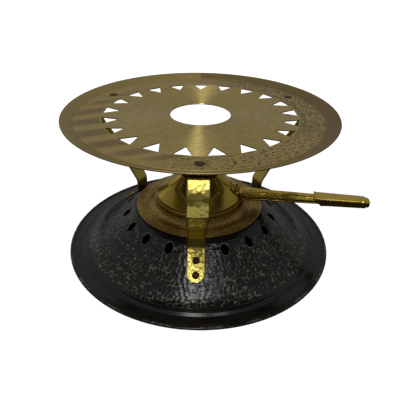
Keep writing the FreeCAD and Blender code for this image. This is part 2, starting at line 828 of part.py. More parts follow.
def handle_arm():
    """Folded sheet channel, open below, wide at its root and narrowing outwards."""
    body = new_body("handle_arm")
    gauge = size("arm_sheet")
    stations = [
        ("root", size("arm_root"), size("arm_root_width") - 1.6),
        ("swell", size("arm_root") + 6.0, size("arm_root_width")),
        ("mid", size("arm_mid"), size("arm_mid_width")),
        ("tip", size("arm_tip"), size("arm_tip_width")),
    ]
    sections = []
    for name, across, width in stations:
        sections.append(channel_section(body, "arm_" + name, across, width, arm_depth(across),
                                        gauge, open_below=True))
    loft(body, "AdditiveLoft", "arm_sheet_form", sections)
    # The root is notched below so that it passes over the knurled collar.
    sketch = new_sketch(body, "root_notch_outline", "XZ_Plane")
    notch_top = size("collar_top") + size("notch_clearance")
    notch_end = size("collar_radius") + size("notch_clearance") * 2
    draw_path(sketch, [
        (size("arm_root") - 1.0, size("handle_height") - size("arm_root_depth")),
        (notch_end, size("handle_height") - size("arm_root_depth")),
        (notch_end, notch_top),
        (size("arm_root") - 1.0, notch_top),
    ])
    body.Tip = pocket_all(body, sketch, "root_notch")
    turn_to(body, SIZES["handle_azimuth"])
    return body


def arm_rivet():
    """Rivet through the arm's root and the bracket's tongue."""
    across = SIZES["arm_root"] + 5.0
    top = SIZES["handle_height"] + arm_depth(across).value / 2
    one = new_body("arm_rivet")
    revolve(one, "arm_rivet_turned", [
        (0.0, 0.6),
        (1.1, 0.6, 0.4),
        (1.9, 0.05),
        (1.0, 0.05),
        (1.0, -2.5),
        (1.6, -2.5),
        (1.6, -3.1),
        (0.0, -3.1),
    ])
    spin = Rotation(Vector(0, 0, 1), SIZES["handle_azimuth"] - 90.0)
    one.Placement = Placement(spin.multVec(Vector(across, 0, top)), spin)
    return one


def handle_sleeve():
    """Closed grip pushed over the arm, its mouth cut off obliquely."""
    body = new_body("handle_sleeve")
    start = size("sleeve_start")
    end = size("sleeve_end")
    wall = size("sleeve_sheet")
    gap = size("sleeve_gap")
    outer = []
    inner = []
    for name, across in (("start", start), ("end", end)):
        width = arm_width(across) + (gap + wall) * 2
        depth = arm_depth(across) + (gap + wall) * 2
        outer.append(channel_section(body, "sleeve_outer_" + name, across, width, depth,
                                     wall, open_below=False))
    loft(body, "AdditiveLoft", "sleeve_outer", outer)
    for name, across in (("start", start - 2.0), ("end", end + 2.0)):
        width = arm_width(across) + gap * 2
        depth = arm_depth(across) + gap * 2
        inner.append(channel_section(body, "sleeve_inner_" + name, across, width, depth,
                                     wall, open_below=False))
    loft(body, "SubtractiveLoft", "sleeve_inner", inner)
    sketch = new_sketch(body, "mouth_outline", "XY_Plane")
    draw_path(sketch, [
        (start - 1.0, -9.0),
        (start + 5.2, -9.0),
        (start + 5.2, -7.0),
        (start + 1.0, 5.2),
        (start - 1.0, 6.0),
    ])
    body.Tip = pocket_all(body, sketch, "mouth")
    turn_to(body, SIZES["handle_azimuth"])
    return body


def handle_tongue():
    """Rounded end plug that closes the sleeve and stands a little out of it."""
    body = new_body("handle_tongue")
    start = size("arm_tip") + 0.3
    end = size("tongue_end")
    half = size("tongue_width") / 2
    sketch = new_sketch(body, "tongue_outline", "XY_Plane",
                        size("handle_height") - size("tongue_sheet") / 2)
    draw_path(sketch, [
        (start, -half),
        (end, -half, 2.6),
        (end, half, 2.6),
        (start, half),
    ])
    pad = body.newObject("PartDesign::Pad", "tongue_pad")
    pad.Profile = sketch
    bind(pad, "Length", size("tongue_sheet"))
    turn_to(body, SIZES["handle_azimuth"])
    return body


def build():
    azimuths = leg_azimuths()
    return [
        base_shell(),
        rim_bead(),
        trivet_plate(),
        leg("leg_front", azimuths[0]),
        leg("leg_back_right", azimuths[1]),
        leg("leg_back_left", azimuths[2]),
        plate_rivets(),
        leg_rivets(),
        rivet_burrs(),
        burner_cover(),
        reservoir_bowl(),
        wick_pad(),
        wick_gauze(),
        gauze_ring(),
        damper_pivot(),
        damper_disc(),
        knurled_collar(),
        hood_cone(),
        handle_bracket(),
        bracket_rivets(),
        handle_arm(),
        arm_rivet(),
        handle_sleeve(),
        handle_tongue(),
    ]


def check(pieces):
    """Stop if any object failed or any piece has no sound solid."""
    for thing in document.Objects:
        if "Invalid" in thing.State or "Error" in thing.State:
            raise RuntimeError(f"{thing.Label} failed: {thing.State}")
    for piece in pieces:
        shape = piece.Shape
        if shape.isNull() or not shape.isValid() or not shape.Solids:
            raise RuntimeError(piece.Label + " is not a sound solid")
        box = shape.optimalBoundingBox()
        print(f"{piece.Label:18s} {len(shape.Solids)} solid(s) {shape.Volume:10.1f} mm3"
              f"  x {box.XMin:7.1f} {box.XMax:7.1f}  y {box.YMin:7.1f} {box.YMax:7.1f}"
              f"  z {box.ZMin:6.1f} {box.ZMax:6.1f}")


pieces = build()
document.recompute()
check(pieces)
os.makedirs(PARTS, exist_ok=True)
for piece in pieces:
    piece.Shape.exportStep(os.path.join(PARTS, piece.Label + ".step"))
print("wrote", len(pieces), "pieces")
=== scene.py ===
"""Looks of a table rechaud with a lift-out spirit burner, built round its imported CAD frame.

+Z is up and -Y is the front, where one leg stands.  Azimuths are measured from the front
towards +X.  Outlines are in millimetres and become metres when a mesh is made.  Pieces that
point outwards are drawn along +X, with +Y across them, and then turned to their azimuth.
"""
from cmath import phase, rect
from math import asin, ceil, cos, exp, hypot, pi, radians, sin, sqrt, tan

import bmesh
import bpy
import numpy as np
from mathutils import Matrix, Vector, kdtree

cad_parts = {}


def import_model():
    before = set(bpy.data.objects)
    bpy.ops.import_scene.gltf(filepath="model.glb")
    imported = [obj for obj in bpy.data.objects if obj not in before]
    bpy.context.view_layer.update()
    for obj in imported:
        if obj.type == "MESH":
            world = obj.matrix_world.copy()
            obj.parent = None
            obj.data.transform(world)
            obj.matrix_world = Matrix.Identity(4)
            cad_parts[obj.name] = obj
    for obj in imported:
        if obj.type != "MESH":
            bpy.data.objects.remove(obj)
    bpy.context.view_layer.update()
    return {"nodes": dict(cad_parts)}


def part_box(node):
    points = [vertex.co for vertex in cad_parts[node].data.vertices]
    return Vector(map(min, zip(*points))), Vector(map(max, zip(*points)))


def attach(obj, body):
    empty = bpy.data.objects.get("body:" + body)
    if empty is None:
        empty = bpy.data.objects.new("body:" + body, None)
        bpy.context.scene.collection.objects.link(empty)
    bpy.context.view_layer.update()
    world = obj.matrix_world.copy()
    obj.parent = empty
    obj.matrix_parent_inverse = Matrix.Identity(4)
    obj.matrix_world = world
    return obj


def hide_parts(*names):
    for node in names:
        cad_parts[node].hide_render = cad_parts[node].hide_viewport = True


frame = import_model()
MM = 0.001


def extent(node):
    """(reach towards +X, low, top) of a CAD node in millimetres."""
    low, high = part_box(node)
    return high.x / MM, low.z / MM, high.z / MM


# Driving sizes in millimetres, taken from the frame.
FOOT_R = extent("rim_bead")[0]
SHELL_R, _, SEAT_Z = extent("base_shell")
PLATE_R, PLATE_LOW_Z, PLATE_LIP_Z = extent("trivet_plate")
FLANGE_R, FLANGE_LOW_Z, COVER_TOP_Z = extent("burner_cover")
COLLAR_R, COLLAR_LOW_Z, COLLAR_TOP_Z = extent("knurled_collar")
HOOD_TOP_Z = extent("hood_cone")[2]
ARM_LOW_Z, ARM_TOP_Z = extent("handle_arm")[1:]
SLEEVE_LOW_Z, SLEEVE_TOP_Z = extent("handle_sleeve")[1:]

# Shell flank: a straight cone, given by its top and its fall for each millimetre outwards.
FLANK_TOP_R = 59.0
FLANK_TOP_Z = SEAT_Z - 1.0
FLANK_FALL = 0.8333
FLANK_LENGTH = hypot(1.0, FLANK_FALL)
FLANK_OUT = FLANK_FALL / FLANK_LENGTH
FLANK_UP = 1.0 / FLANK_LENGTH
CREASE_R = SHELL_R - 9.2
SWEEP_R = CREASE_R - 11.6
HAMMERED_FROM_R = 60.0
HAMMERED_TO_R = 100.6
GROOVE_R = 101.2
SHELL_DENT = 3.7
VENT_R = 65.0
VENT_WIDTH = 7.0
VENT_LENGTH = 10.0
VENT_PITCH = 20
VENT_TURN = -1.3

# Plate.
PLATE_TOP_Z = PLATE_LOW_Z + 1.3
PLATE_HOLE_R = 24.3
PLATE_FLAT_R = PLATE_R - 9.7
PLATE_DENT = 2.7
TEETH = 21
TOOTH_APEX_R = 64.6
TOOTH_CHORD_R = 78.2
TOOTH_CHORD = 13.8

# Legs.
LEG_AZIMUTHS = (0.0, 120.0, 240.0)
STRAP_SHEET = 1.6
STRAP_WIDTH = 14.0
STRAP_DENT = 3.9
LEG_RIVET_RADII = (70.6, 79.4)
LEG_RIVET_HEAD = 2.95
PLATE_RIVET_R = 90.0
PLATE_RIVET_HEAD = 3.8

# Burner, hood and handle.
PORTS = 8
PORT_CENTRE_R = 16.5
PORT_R = 3.0
KNURL_BEADS = 150
SPIGOT_R = COLLAR_R - 2.45
HOOD_FOOT_R = 37.1
HOOD_LOW_Z = COLLAR_TOP_Z + 0.3
HOOD_WAIST_R = 27.6
HOOD_WAIST_Z = HOOD_TOP_Z - 8.6
HOOD_MOUTH_R = 15.6
HANDLE_AZIMUTH = 83.0
ARM_ROOT = 37.4
ARM_TIP = 141.0
SLEEVE_START = 99.6
SLEEVE_END = 143.6
SLEEVE_MIDDLE_Z = (SLEEVE_TOP_Z + SLEEVE_LOW_Z) / 2
TONGUE_END = 146.3


# ---- lines and meshes

def drawn(corners, pitch, closed=False, arc_steps=0):
    """Points of a line through (across, up, rounding) corners, about pitch apart.

    With arc_steps, each arc has that many steps and straight stretches stay whole, so that
    lines with the same corners have the same count of points.
    """
    places = [complex(*corner[:2]) for corner in corners]
    line = []
    for i, here in enumerate(places):
        if len(corners[i]) == 2:
            line.append(here)
            continue
        rounding = corners[i][2]
        back = places[i - 1] - here
        ahead = places[(i + 1) % len(places)] - here
        back /= abs(back)
        ahead /= abs(ahead)
        half = abs(phase(ahead / back)) / 2
        centre = here + (back + ahead) / abs(back + ahead) * rounding / sin(half)
        start = here + back * rounding / tan(half) - centre
        end = here + ahead * rounding / tan(half) - centre
        swing = phase(end / start)
        steps = arc_steps or max(3, ceil(abs(swing) * rounding / pitch))
        line.extend(centre + start * rect(1.0, swing * k / steps) for k in range(steps + 1))
    points = np.array(line, complex).view(float).reshape(-1, 2)
    return points if arc_steps else split(points, pitch, closed)


def split(points, pitch, closed=False):
    """The same line with its long stretches cut into steps no longer than pitch."""
    ends = np.roll(points, -1, axis=0) if closed else points[1:]
    result = []
    for start, end in zip(points, ends):
        steps = max(1, ceil(np.linalg.norm(end - start) / pitch))
        result.extend(start + (end - start) * k / steps for k in range(steps))
    return np.array(result if closed else [*result, points[-1]])


def travel(line):
    """Distance along a line at each of its points."""
    return np.concatenate([[0.0], np.cumsum(np.hypot(*np.diff(line, axis=0).T))])


def spot(line, along, where):
    """(across, up) on a line, at a distance along it."""
    return np.interp(where, along, line[:, 0]), np.interp(where, along, line[:, 1])


def circle(centre_x, radius, steps):
    """Points of a circle about a centre on the +X axis."""
    turns = np.arange(steps) * 2 * pi / steps
    return np.stack([centre_x + radius * np.cos(turns), radius * np.sin(turns)], axis=1)


def smoothstep(low, high, value):
    share = np.clip((value - low) / (high - low), 0.0, 1.0)
    return share * share * (3.0 - 2.0 * share)


def between(low, low_full, high_full, high, value):
    """Rises from 0 to 1 over the first two limits and falls back over the last two."""
    return smoothstep(low, low_full, value) * (1.0 - smoothstep(high_full, high, value))


def bell(centre, width, value):
    return np.exp(-(((value - centre) / width) ** 2))


def linked(name, data):
    """A new object in the scene."""
    result = bpy.data.objects.new(name, data)
    bpy.context.scene.collection.objects.link(result)
    return result


def new_mesh(name, points, faces):
    """An object from points in millimetres and faces that all have the same corner count."""
    mesh = bpy.data.meshes.new(name)
    points = np.asarray(points, float) * MM
    faces = np.asarray(faces, np.int32)
    mesh.vertices.add(len(points))
    mesh.vertices.foreach_set("co", points.astype(np.float32).ravel())
    mesh.loops.add(faces.size)
    mesh.loops.foreach_set("vertex_index", faces.ravel())
    mesh.polygons.add(len(faces))
    mesh.polygons.foreach_set("loop_start", np.arange(len(faces), dtype=np.int32) * faces.shape[1])
    mesh.update(calc_edges=True)
    return linked(name, mesh)


def grid_faces(rows, columns, row_loop):
    """Quads between looped rows of points; looped rows join the last row to the first."""
    here = np.arange(rows * columns).reshape(rows, columns)
    next_row = np.roll(here, -1, axis=0)
    quads = [here, np.roll(here, -1, axis=1), np.roll(next_row, -1, axis=1), next_row]
    last_row = rows if row_loop else rows - 1
    return np.stack(quads, axis=-1)[:last_row].reshape(-1, 4)


def turned(name, outline, around):
    """A closed outline of (radius, height) points turned round the Z axis."""
    ahead = np.roll(outline, -1, axis=0)
    area = np.sum(outline[:, 0] * ahead[:, 1] - ahead[:, 0] * outline[:, 1])
    if area > 0:
        outline = outline[::-1]
    angle = np.arange(around) * 2.0 * pi / around
    radius = outline[:, :1]
    points = np.stack([radius * np.sin(angle), -radius * np.cos(angle),
                       np.repeat(outline[:, 1:], around, axis=1)], axis=-1)
    faces = grid_faces(len(outline), around, row_loop=True)
    return new_mesh(name, points.reshape(-1, 3), faces[:, ::-1])


def spun(name, around, pitch, corners):
    """A closed outline of (radius, height, rounding) corners turned round the Z axis."""
    return turned(name, drawn(corners, pitch, closed=True), around)


def swept(name, rings):
    """A closed skin over rings of points, all of the same count, with flat ends."""
    rings = np.asarray(rings, float)
    rows, columns = rings.shape[:2]
    piece = new_mesh(name, rings.reshape(-1, 3), grid_faces(rows, columns, row_loop=False))
    body = bmesh.new()
    body.from_mesh(piece.data)
    body.verts.ensure_lookup_table()
    body.faces.new([body.verts[j] for j in range(columns)])
    body.faces.new([body.verts[(rows - 1) * columns + j] for j in reversed(range(columns))])
    bmesh.ops.recalc_face_normals(body, faces=body.faces)
    body.to_mesh(piece.data)
    body.free()
    return piece


def joined(name, pieces):
    """Several pieces as one."""
    body = bmesh.new()
    for piece in pieces:
        body.from_mesh(piece.data)
        bpy.data.objects.remove(piece)
    mesh = bpy.data.meshes.new(name)
    body.to_mesh(mesh)
    body.free()
    return linked(name, mesh)


def vectors(items, field):
    """A vector field of a mesh's points or faces, one row each."""
    flat = np.empty(len(items) * 3, np.float32)
    items.foreach_get(field, flat)
    return flat.reshape(-1, 3).astype(float)


def coordinates(piece):
    """Points of a piece in millimetres."""
    return vectors(piece.data.vertices, "co") / MM


def put_coordinates(piece, points):
    piece.data.vertices.foreach_set("co", (points * MM).astype(np.float32).ravel())
    piece.data.update()


def put_value(piece, name, values):
    """Store one number a point, for the materials."""
    layer = piece.data.attributes.new(name, "FLOAT", "POINT")
    layer.data.foreach_set("value", np.asarray(values, np.float32))


def radius_of(points):
    return np.hypot(points[:, 0], points[:, 1])


def azimuth_of(points):
    return np.degrees(np.arctan2(points[:, 0], -points[:, 1]))


def cut_prisms(piece, outlines, low, high):
    """Cut upright holes through a piece, one for each outline of (x, y) points."""
    prisms = []
    for outline in outlines:
        ends = [np.column_stack([outline, np.full(len(outline), z)]) for z in (low, high)]
        prisms.append(swept("prism", ends))
    change = piece.modifiers.new("cut", "BOOLEAN")
    change.operation = "DIFFERENCE"
    change.solver = "MANIFOLD"
    change.object = joined("prisms", prisms)
    depsgraph = bpy.context.evaluated_depsgraph_get()
    result = bpy.data.meshes.new_from_object(piece.evaluated_get(depsgraph))
    bpy.data.objects.remove(change.object)
    piece.modifiers.clear()
    result.polygons.foreach_set("material_index", np.zeros(len(result.polygons), np.int32))
    piece.data = result


def turn_points(points, azimuth):
    """Points drawn along +X, turned to an azimuth."""
    angle = radians(azimuth)
    out = np.array([sin(angle), -cos(angle), 0.0])
    side = np.array([cos(angle), sin(angle), 0.0])
    return points[..., :1] * out + points[..., 1:2] * side + points[..., 2:] * np.array([0, 0, 1.0])


def turn_piece(piece, azimuth):
    put_coordinates(piece, turn_points(coordinates(piece), azimuth))


def turn_outline(outline, azimuth):
    """(x, y) points drawn about +X, turned to an azimuth."""
    return turn_points(np.column_stack([outline, np.zeros(len(outline))]), azimuth)[:, :2]


def settle(piece, body, slot, node, *materials, crease=38.0):
    """Shade a finished piece, give it its materials and fix it to its CAD body."""
    piece.data.materials.clear()
    for material in materials:
        piece.data.materials.append(material)
    piece.data.shade_smooth()
    piece.data.set_sharp_from_angle(angle=radians(crease))
    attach(piece, body)
    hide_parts(node)


def settle_handle(piece, node, crease=38.0):
    """Turn a part of the handle, drawn along +X, to its azimuth and settle it."""
    turn_piece(piece, HANDLE_AZIMUTH)
    settle(piece, "hood", "handle_brass", node, HANDLE_BRASS, crease=crease)


def settle_rivets(name, heads, body, node):
    settle(joined(name, heads), body, "rivet_copper", node, COPPER)


# ---- hammering

class Hammering:
    """Overlapping hammer dents, each a shallow bowl; ridges stand where bowls meet."""

    def __init__(self, centres, spacing, sag, rng):
        self.half = spacing / 2
        self.sag = sag
        self.lift = rng.uniform(-0.35, 0.35, len(centres)) * sag
        self.worn = rng.uniform(0.0, 1.0, len(centres))
        self.tree = kdtree.KDTree(len(centres))
        for i, centre in enumerate(centres):
            self.tree.insert(centre, i)
        self.tree.balance()

    def sample(self, points):
        """(height, ridge) at points: height in millimetres, ridge from 0 to 1."""
        height = np.zeros(len(points))
        ridge = np.zeros(len(points))
        for n, point in enumerate(points):
            found = self.tree.find_n(point, 3)
            levels = sorted(
                (self.sag * (distance / self.half) ** 2 + self.lift[i], i)
                for _, i, distance in found)
            (lowest, one), (second, other) = levels[:2]
            gap = (second - lowest) / self.sag
            height[n] = min(lowest, self.sag * 1.6)
            worn = 0.1 + 0.9 * (0.5 + 0.5 * sin(9.0 * (self.worn[one] + self.worn[other])))
            ridge[n] = exp(-((gap / (0.40 + 0.55 * worn)) ** 2)) * worn
        return height - self.sag * 0.5, ridge


def ring_centres(line, spacing, rng, jitter=0.30):
    """Dent centres in staggered rings on a turned surface, whose (radius, height) line is given."""
    along = travel(line)
    centres = []
    for s in np.arange(0.0, along[-1], spacing * 0.87):
        radius, _ = spot(line, along, s)
        count = max(3, round(2 * pi * radius / spacing))
        start = rng.uniform(0, 2 * pi)
        for k in range(count):
            angle = start + (k + rng.uniform(-jitter, jitter)) * 2 * pi / count
            r, z = spot(line, along, s + rng.uniform(-jitter, jitter) * spacing)
            centres.append((r * sin(angle), -r * cos(angle), z))
    return centres


def strap_centres(line, rng):
    """Dent centres in staggered rows on a strap drawn along +X."""
    along = travel(line)
    centres = []
    for s in np.arange(0.0, along[-1] + STRAP_DENT, STRAP_DENT * 0.87):
        stagger = 0.5 * (round(s / STRAP_DENT) % 2)
        for side in np.arange(-2, 3):
            x, z = spot(line, along, s + rng.uniform(-0.3, 0.3) * STRAP_DENT)
            centres.append((x, (side + rng.uniform(-0.3, 0.3) + stagger) * STRAP_DENT, z))
    return centres


# ---- materials

class Nodes:
    """A node tree, with short calls to add and link its nodes."""

    def __init__(self, tree):
        self.tree = tree

    def feed(self, socket, value):
        """Link an output to a socket, or set the socket to a plain value."""
        if isinstance(value, bpy.types.NodeSocket):
            self.tree.links.new(value, socket)
        else:
            socket.default_value = value

    def fill(self, node, **values):
        """Feed a node's inputs by name; an underscore stands for a space."""
        for key, value in values.items():
            self.feed(node.inputs[key.replace("_", " ")], value)
        return node

    def add(self, kind, *values, **settings):
        """A new node, with values for its first inputs in their order."""
        node = self.tree.nodes.new(kind)
        for key, value in settings.items():
            setattr(node, key, value)
        for socket, value in zip(node.inputs, values):
            self.feed(socket, value)
        return node

    def math(self, operation, *values):
        return self.add("ShaderNodeMath", *values, operation=operation).outputs[0]


class Finish(Nodes):
    """One node material of the principled shader."""

    def __init__(self, name):
        self.material = bpy.data.materials.new(name)
        self.material.use_nodes = True
        super().__init__(self.material.node_tree)
        self.place = self.add("ShaderNodeTexCoord").outputs["Object"]
        self.x, self.y, self.z = self.parts(self.place)

    def done(self, **values):
        """Feed the shader's inputs by name, and give back the material."""
        self.fill(self.tree.nodes["Principled BSDF"], **values)
        return self.material

    def parts(self, vector):
        return self.add("ShaderNodeSeparateXYZ", vector).outputs

    def span(self, value, low, high, to_low=0.0, to_high=1.0):
        """A value from low to high, stretched to another range and clamped."""
        return self.add("ShaderNodeMapRange", value, low, high, to_low, to_high).outputs[0]

    def mix(self, share, a, b):
        node = self.add("ShaderNodeMix", share, data_type="RGBA")
        for socket, colour in zip(node.inputs[6:8], (a, b)):
            self.feed(socket, (*colour, 1.0) if isinstance(colour, tuple) else colour)
        return node.outputs[2]

    def noise(self, grain, detail=4.0, rough=0.55, distortion=0.0, place=None):
        """Noise whose spots are about grain millimetres wide."""
        node = self.fill(self.add("ShaderNodeTexNoise"), Vector=place or self.place,
                         Scale=1.0 / (grain * MM), Detail=detail, Roughness=rough,
                         Distortion=distortion)
        return node.outputs["Fac"]

    def stored(self, name):
        return self.add("ShaderNodeAttribute", attribute_name=name).outputs["Fac"]

    def radius(self):
        """Distance from the Z axis, in millimetres."""
        squared = self.math("MULTIPLY_ADD", self.x, self.x, self.math("MULTIPLY", self.y, self.y))
        return self.math("MULTIPLY", self.math("SQRT", squared), 1.0 / MM)

    def polar(self, turn_scale):
        """Coordinates that follow the azimuth and the radius, for marks that run in rings."""
        turn = self.math("MULTIPLY", self.math("ARCTAN2", self.x, self.y), turn_scale * MM)
        radius = self.math("MULTIPLY", self.radius(), MM)
        return self.add("ShaderNodeCombineXYZ", turn, radius, self.z).outputs[0]

    def bump(self, height, depth, under=None):
        """Bump of a 0 to 1 height, depth millimetres deep, on top of another bump."""
        node = self.fill(self.add("ShaderNodeBump"), Strength=1.0, Distance=depth * MM, Height=height)
        if under:
            self.fill(node, Normal=under)
        return node.outputs[0]


def black_shell_finish():
    """Blackened hammered metal: dark in the dents, rubbed to grey-brown along the ridges, and
    lightened the same way as painted highlight along the vents' edges and on the foot bead's crown.
    """
    look = Finish("black_shell")
    cloud = look.noise(22.0, 5.0, 0.6)
    fine = look.noise(1.1, 6.0, 0.65)
    patch = look.span(look.noise(3.0, 4.0, 0.6), 0.40, 0.56, 0.1, 1.0)
    # The stored ridge value holds real wear on the ridges and also painted highlight on the vents'
    # edges and the bead's crown.
    rub = look.math("MULTIPLY", look.stored("ridge"), patch)
    dark = look.mix(cloud, (0.003, 0.004, 0.004), (0.008, 0.008, 0.007))
    speckled = look.mix(look.span(fine, 0.55, 0.75), dark, (0.020, 0.019, 0.016))
    scratch = look.noise(0.5, 3.0, 0.6, place=look.polar(25.0))
    return look.done(
        Base_Color=look.mix(look.span(rub, 0.15, 0.75), speckled, (0.25, 0.24, 0.19)),
        Metallic=look.span(rub, 0.2, 0.9, 0.0, 0.35), IOR=1.5,
        Roughness=look.span(cloud, 0.3, 0.7, 0.13, 0.21),
        Normal=look.bump(scratch, 0.02, look.bump(fine, 0.05)))


def plate_centre_finish():
    """Old brass brushed in rings round the plate's centre."""
    look = Finish("plate_brushed")
    cloud = look.noise(30.0)
    rings = look.noise(0.35, 4.0, 0.6, place=look.polar(12.0))
    arcs = look.noise(2.4, 4.0, 0.6, place=look.polar(22.0))
    olive = look.mix(cloud, (0.66, 0.515, 0.185), (0.78, 0.61, 0.22))
    brown = look.mix(look.span(arcs, 0.42, 0.68, 0.0, 0.7), olive, (0.50, 0.38, 0.15))
    spots = look.span(look.noise(2.2, 5.0, 0.7), 0.70, 0.76)
    tangent = look.add("ShaderNodeTangent", direction_type="RADIAL", axis="Z")
    return look.done(
        Base_Color=look.mix(look.math("MULTIPLY", spots, 0.5), brown, (0.33, 0.22, 0.10)),
        Metallic=1.0, Roughness=look.span(rings, 0.3, 0.7, 0.27, 0.33),
        Anisotropic=1.0, Anisotropic_Rotation=0.25, Tangent=tangent.outputs[0],
        Normal=look.bump(rings, 0.004))


def plate_ring_finish():
    """The plate's chased outer ring: worn light chasing on the right over brown, dark dashes
    in front, smooth olive with brown bands on the left, browner towards the rim."""
    look = Finish("plate_chased")
    cloud = look.noise(24.0, 4.0, 0.6)
    fine = look.noise(0.8, 5.0, 0.65)
    olive = look.mix(cloud, (0.53, 0.40, 0.145), (0.64, 0.49, 0.175))
    brown = look.mix(cloud, (0.20, 0.135, 0.058), (0.28, 0.20, 0.085))
    ground = look.mix(look.stored("brown"), olive, brown)
    worm = look.noise(2.3, 2.0, 0.5, distortion=0.5)
    off = look.math("ABSOLUTE", look.math("SUBTRACT", worm, 0.5))
    broken = look.span(look.noise(4.5, 3.0, 0.6), 0.40, 0.52)
    lines = look.math("MULTIPLY", look.span(off, 0.025, 0.05, 1.0, 0.0), broken)
    lines = look.math("MAXIMUM", lines, look.span(look.stored("ridge"), 0.25, 0.7))
    lines = look.math("MULTIPLY", lines, look.stored("chased"))
    light = look.mix(lines, ground, (0.82, 0.63, 0.25))
    short = look.span(look.noise(1.15, 2.0, 0.5, place=look.polar(30.0)), 0.55, 0.60)
    dashes = look.math("MULTIPLY", short, look.stored("dash"))
    dashed = look.mix(dashes, light, (0.12, 0.072, 0.027))
    grain = look.span(fine, 0.40, 0.60, 0.55, 1.0)
    streak = look.math("MULTIPLY", look.stored("streak"), grain)
    return look.done(Base_Color=look.mix(streak, dashed, (0.225, 0.15, 0.078)), Metallic=1.0,
                     Roughness=look.span(fine, 0.3, 0.7, 0.28, 0.42), Normal=look.bump(fine, 0.05))


def plate_edge_finish():
    """Dull brown metal inside the plate's cut-outs."""
    look = Finish("plate_cut_edge")
    fine = look.noise(0.8, 4.0, 0.6)
    return look.done(Base_Color=look.mix(fine, (0.10, 0.068, 0.022), (0.20, 0.145, 0.055)),
                     Metallic=0.7, Roughness=0.55, Normal=look.bump(fine, 0.05))


def strap_finish():
    """Bright yellow hammered brass of the legs, dull where soot and dirt gather."""
    look = Finish("strap_brass")
    fine = look.noise(0.8, 5.0, 0.65)
    clean = look.mix(look.noise(9.0, 4.0, 0.6), (0.74, 0.60, 0.11), (0.82, 0.68, 0.16))
    dirty = look.mix(look.span(fine, 0.5, 0.72, 0.0, 0.7), clean, (0.36, 0.26, 0.06))
    rub = look.math("MULTIPLY", look.stored("ridge"), 0.5)
    return look.done(Base_Color=look.mix(rub, dirty, (0.88, 0.80, 0.36)), Metallic=1.0,
                     Roughness=look.span(fine, 0.3, 0.7, 0.20, 0.36), Normal=look.bump(fine, 0.04))


def brass_finish(name, clean, aged, tarnish_and_shade, rough, speckle=0.68, speckle_size=1.4, painted_side_shade=0.0):
    """Polished old brass with soft clouds, lathe marks in rings and brown specks.

    The last argument paints shade on the upright faces, darkening them towards the tarnish colour."""
    look = Finish(name)
    cloud = look.noise(14.0, 5.0, 0.6)
    fine = look.noise(speckle_size, 6.0, 0.7)
    rings = look.noise(0.4, 3.0, 0.6, place=look.polar(15.0))
    body = look.mix(look.span(cloud, 0.32, 0.68), clean, aged)
    colour = look.mix(look.span(fine, speckle - 0.08, speckle + 0.05, 0.0, 0.85), body, tarnish_and_shade)
    # Painted shade: upright faces are made darker than faces that look up or down.
    if painted_side_shade:
        facing = look.parts(look.add("ShaderNodeNewGeometry").outputs["Normal"])
        level = look.math("ABSOLUTE", facing[2])
        colour = look.mix(look.span(level, 0.15, 0.55, painted_side_shade, 0.0), colour, tarnish_and_shade)
    return look.done(Base_Color=colour, Metallic=1.0,
                     Roughness=look.span(cloud, 0.3, 0.7, rough - 0.05, rough + 0.07),
                     Normal=look.bump(rings, 0.008, look.bump(fine, 0.02)))


def copper_finish():
    """Rivet heads, nearly black-brown, with a little bare copper on the crown."""
    look = Finish("rivet_copper")
    fine = look.noise(0.7, 5.0, 0.65)
    dark = look.mix(look.noise(2.5, 3.0), (0.060, 0.026, 0.015), (0.115, 0.055, 0.030))
    bare = look.span(fine, 0.58, 0.72, 0.0, 0.6)
    return look.done(Base_Color=look.mix(bare, dark, (0.28, 0.13, 0.07)), Metallic=0.8,
                     Roughness=look.span(fine, 0.3, 0.7, 0.34, 0.55), Normal=look.bump(fine, 0.08))


def wick_finish():
    """Cotton wool, browned by heat."""
    look = Finish("wick_wool")
    tuft = look.noise(2.0, 6.0, 0.7, distortion=0.6)
    fibre = look.noise(0.5, 5.0, 0.7)
    pale = look.mix(tuft, (0.46, 0.42, 0.35), (0.66, 0.62, 0.54))
    charred = look.mix(look.span(fibre, 0.45, 0.7), pale, (0.30, 0.26, 0.20))
    return look.done(Base_Color=charred, Roughness=0.95, Sheen_Weight=0.4,
                     Normal=look.bump(fibre, 0.4, look.bump(tuft, 0.8)))


def gauze_finish():
    """Woven brass wire, with painted shade in the openings between the wires."""
    look = Finish("gauze_wire")
    heights = []
    for axis in "XY":
        wave = look.add("ShaderNodeTexWave", wave_type="BANDS", bands_direction=axis)
        look.fill(wave, Scale=1.0 / (3.2 * MM), Vector=look.place)
        heights.append(wave.outputs["Fac"])
    weave = look.math("MAXIMUM", *heights)
    bright = look.mix(look.noise(6.0), (0.52, 0.42, 0.20), (0.36, 0.27, 0.13))
    # Painted shade: the openings between the wires are near black.
    wires = look.mix(look.span(weave, 0.55, 0.9), (0.03, 0.024, 0.015), bright)
    return look.done(Base_Color=wires, Metallic=0.9, Roughness=0.42, Normal=look.bump(weave, 0.3))


BLACK = black_shell_finish()
PLATE_CENTRE = plate_centre_finish()
PLATE_RING = plate_ring_finish()
PLATE_EDGE = plate_edge_finish()
STRAP = strap_finish()
COPPER = copper_finish()
COVER_BRASS = brass_finish("burner_brass", (0.62, 0.44, 0.14), (0.45, 0.305, 0.085),
                           (0.13, 0.07, 0.022), 0.36, speckle=0.56)
HOOD_BRASS = brass_finish("polished_brass", (0.62, 0.45, 0.080), (0.48, 0.335, 0.050),
                          (0.20, 0.11, 0.03), 0.21, speckle=0.72, speckle_size=2.2)
HANDLE_BRASS = brass_finish("handle_brass", (0.84, 0.62, 0.115), (0.66, 0.47, 0.075),
                            (0.22, 0.12, 0.035), 0.20, speckle=0.70, painted_side_shade=0.8)
WOOL = wick_finish()
GAUZE = gauze_finish()


# ---- stand

def flank_z(radius):
    """Height of the shell's straight flank at a radius."""
    return FLANK_TOP_Z - (radius - FLANK_TOP_R) * FLANK_FALL


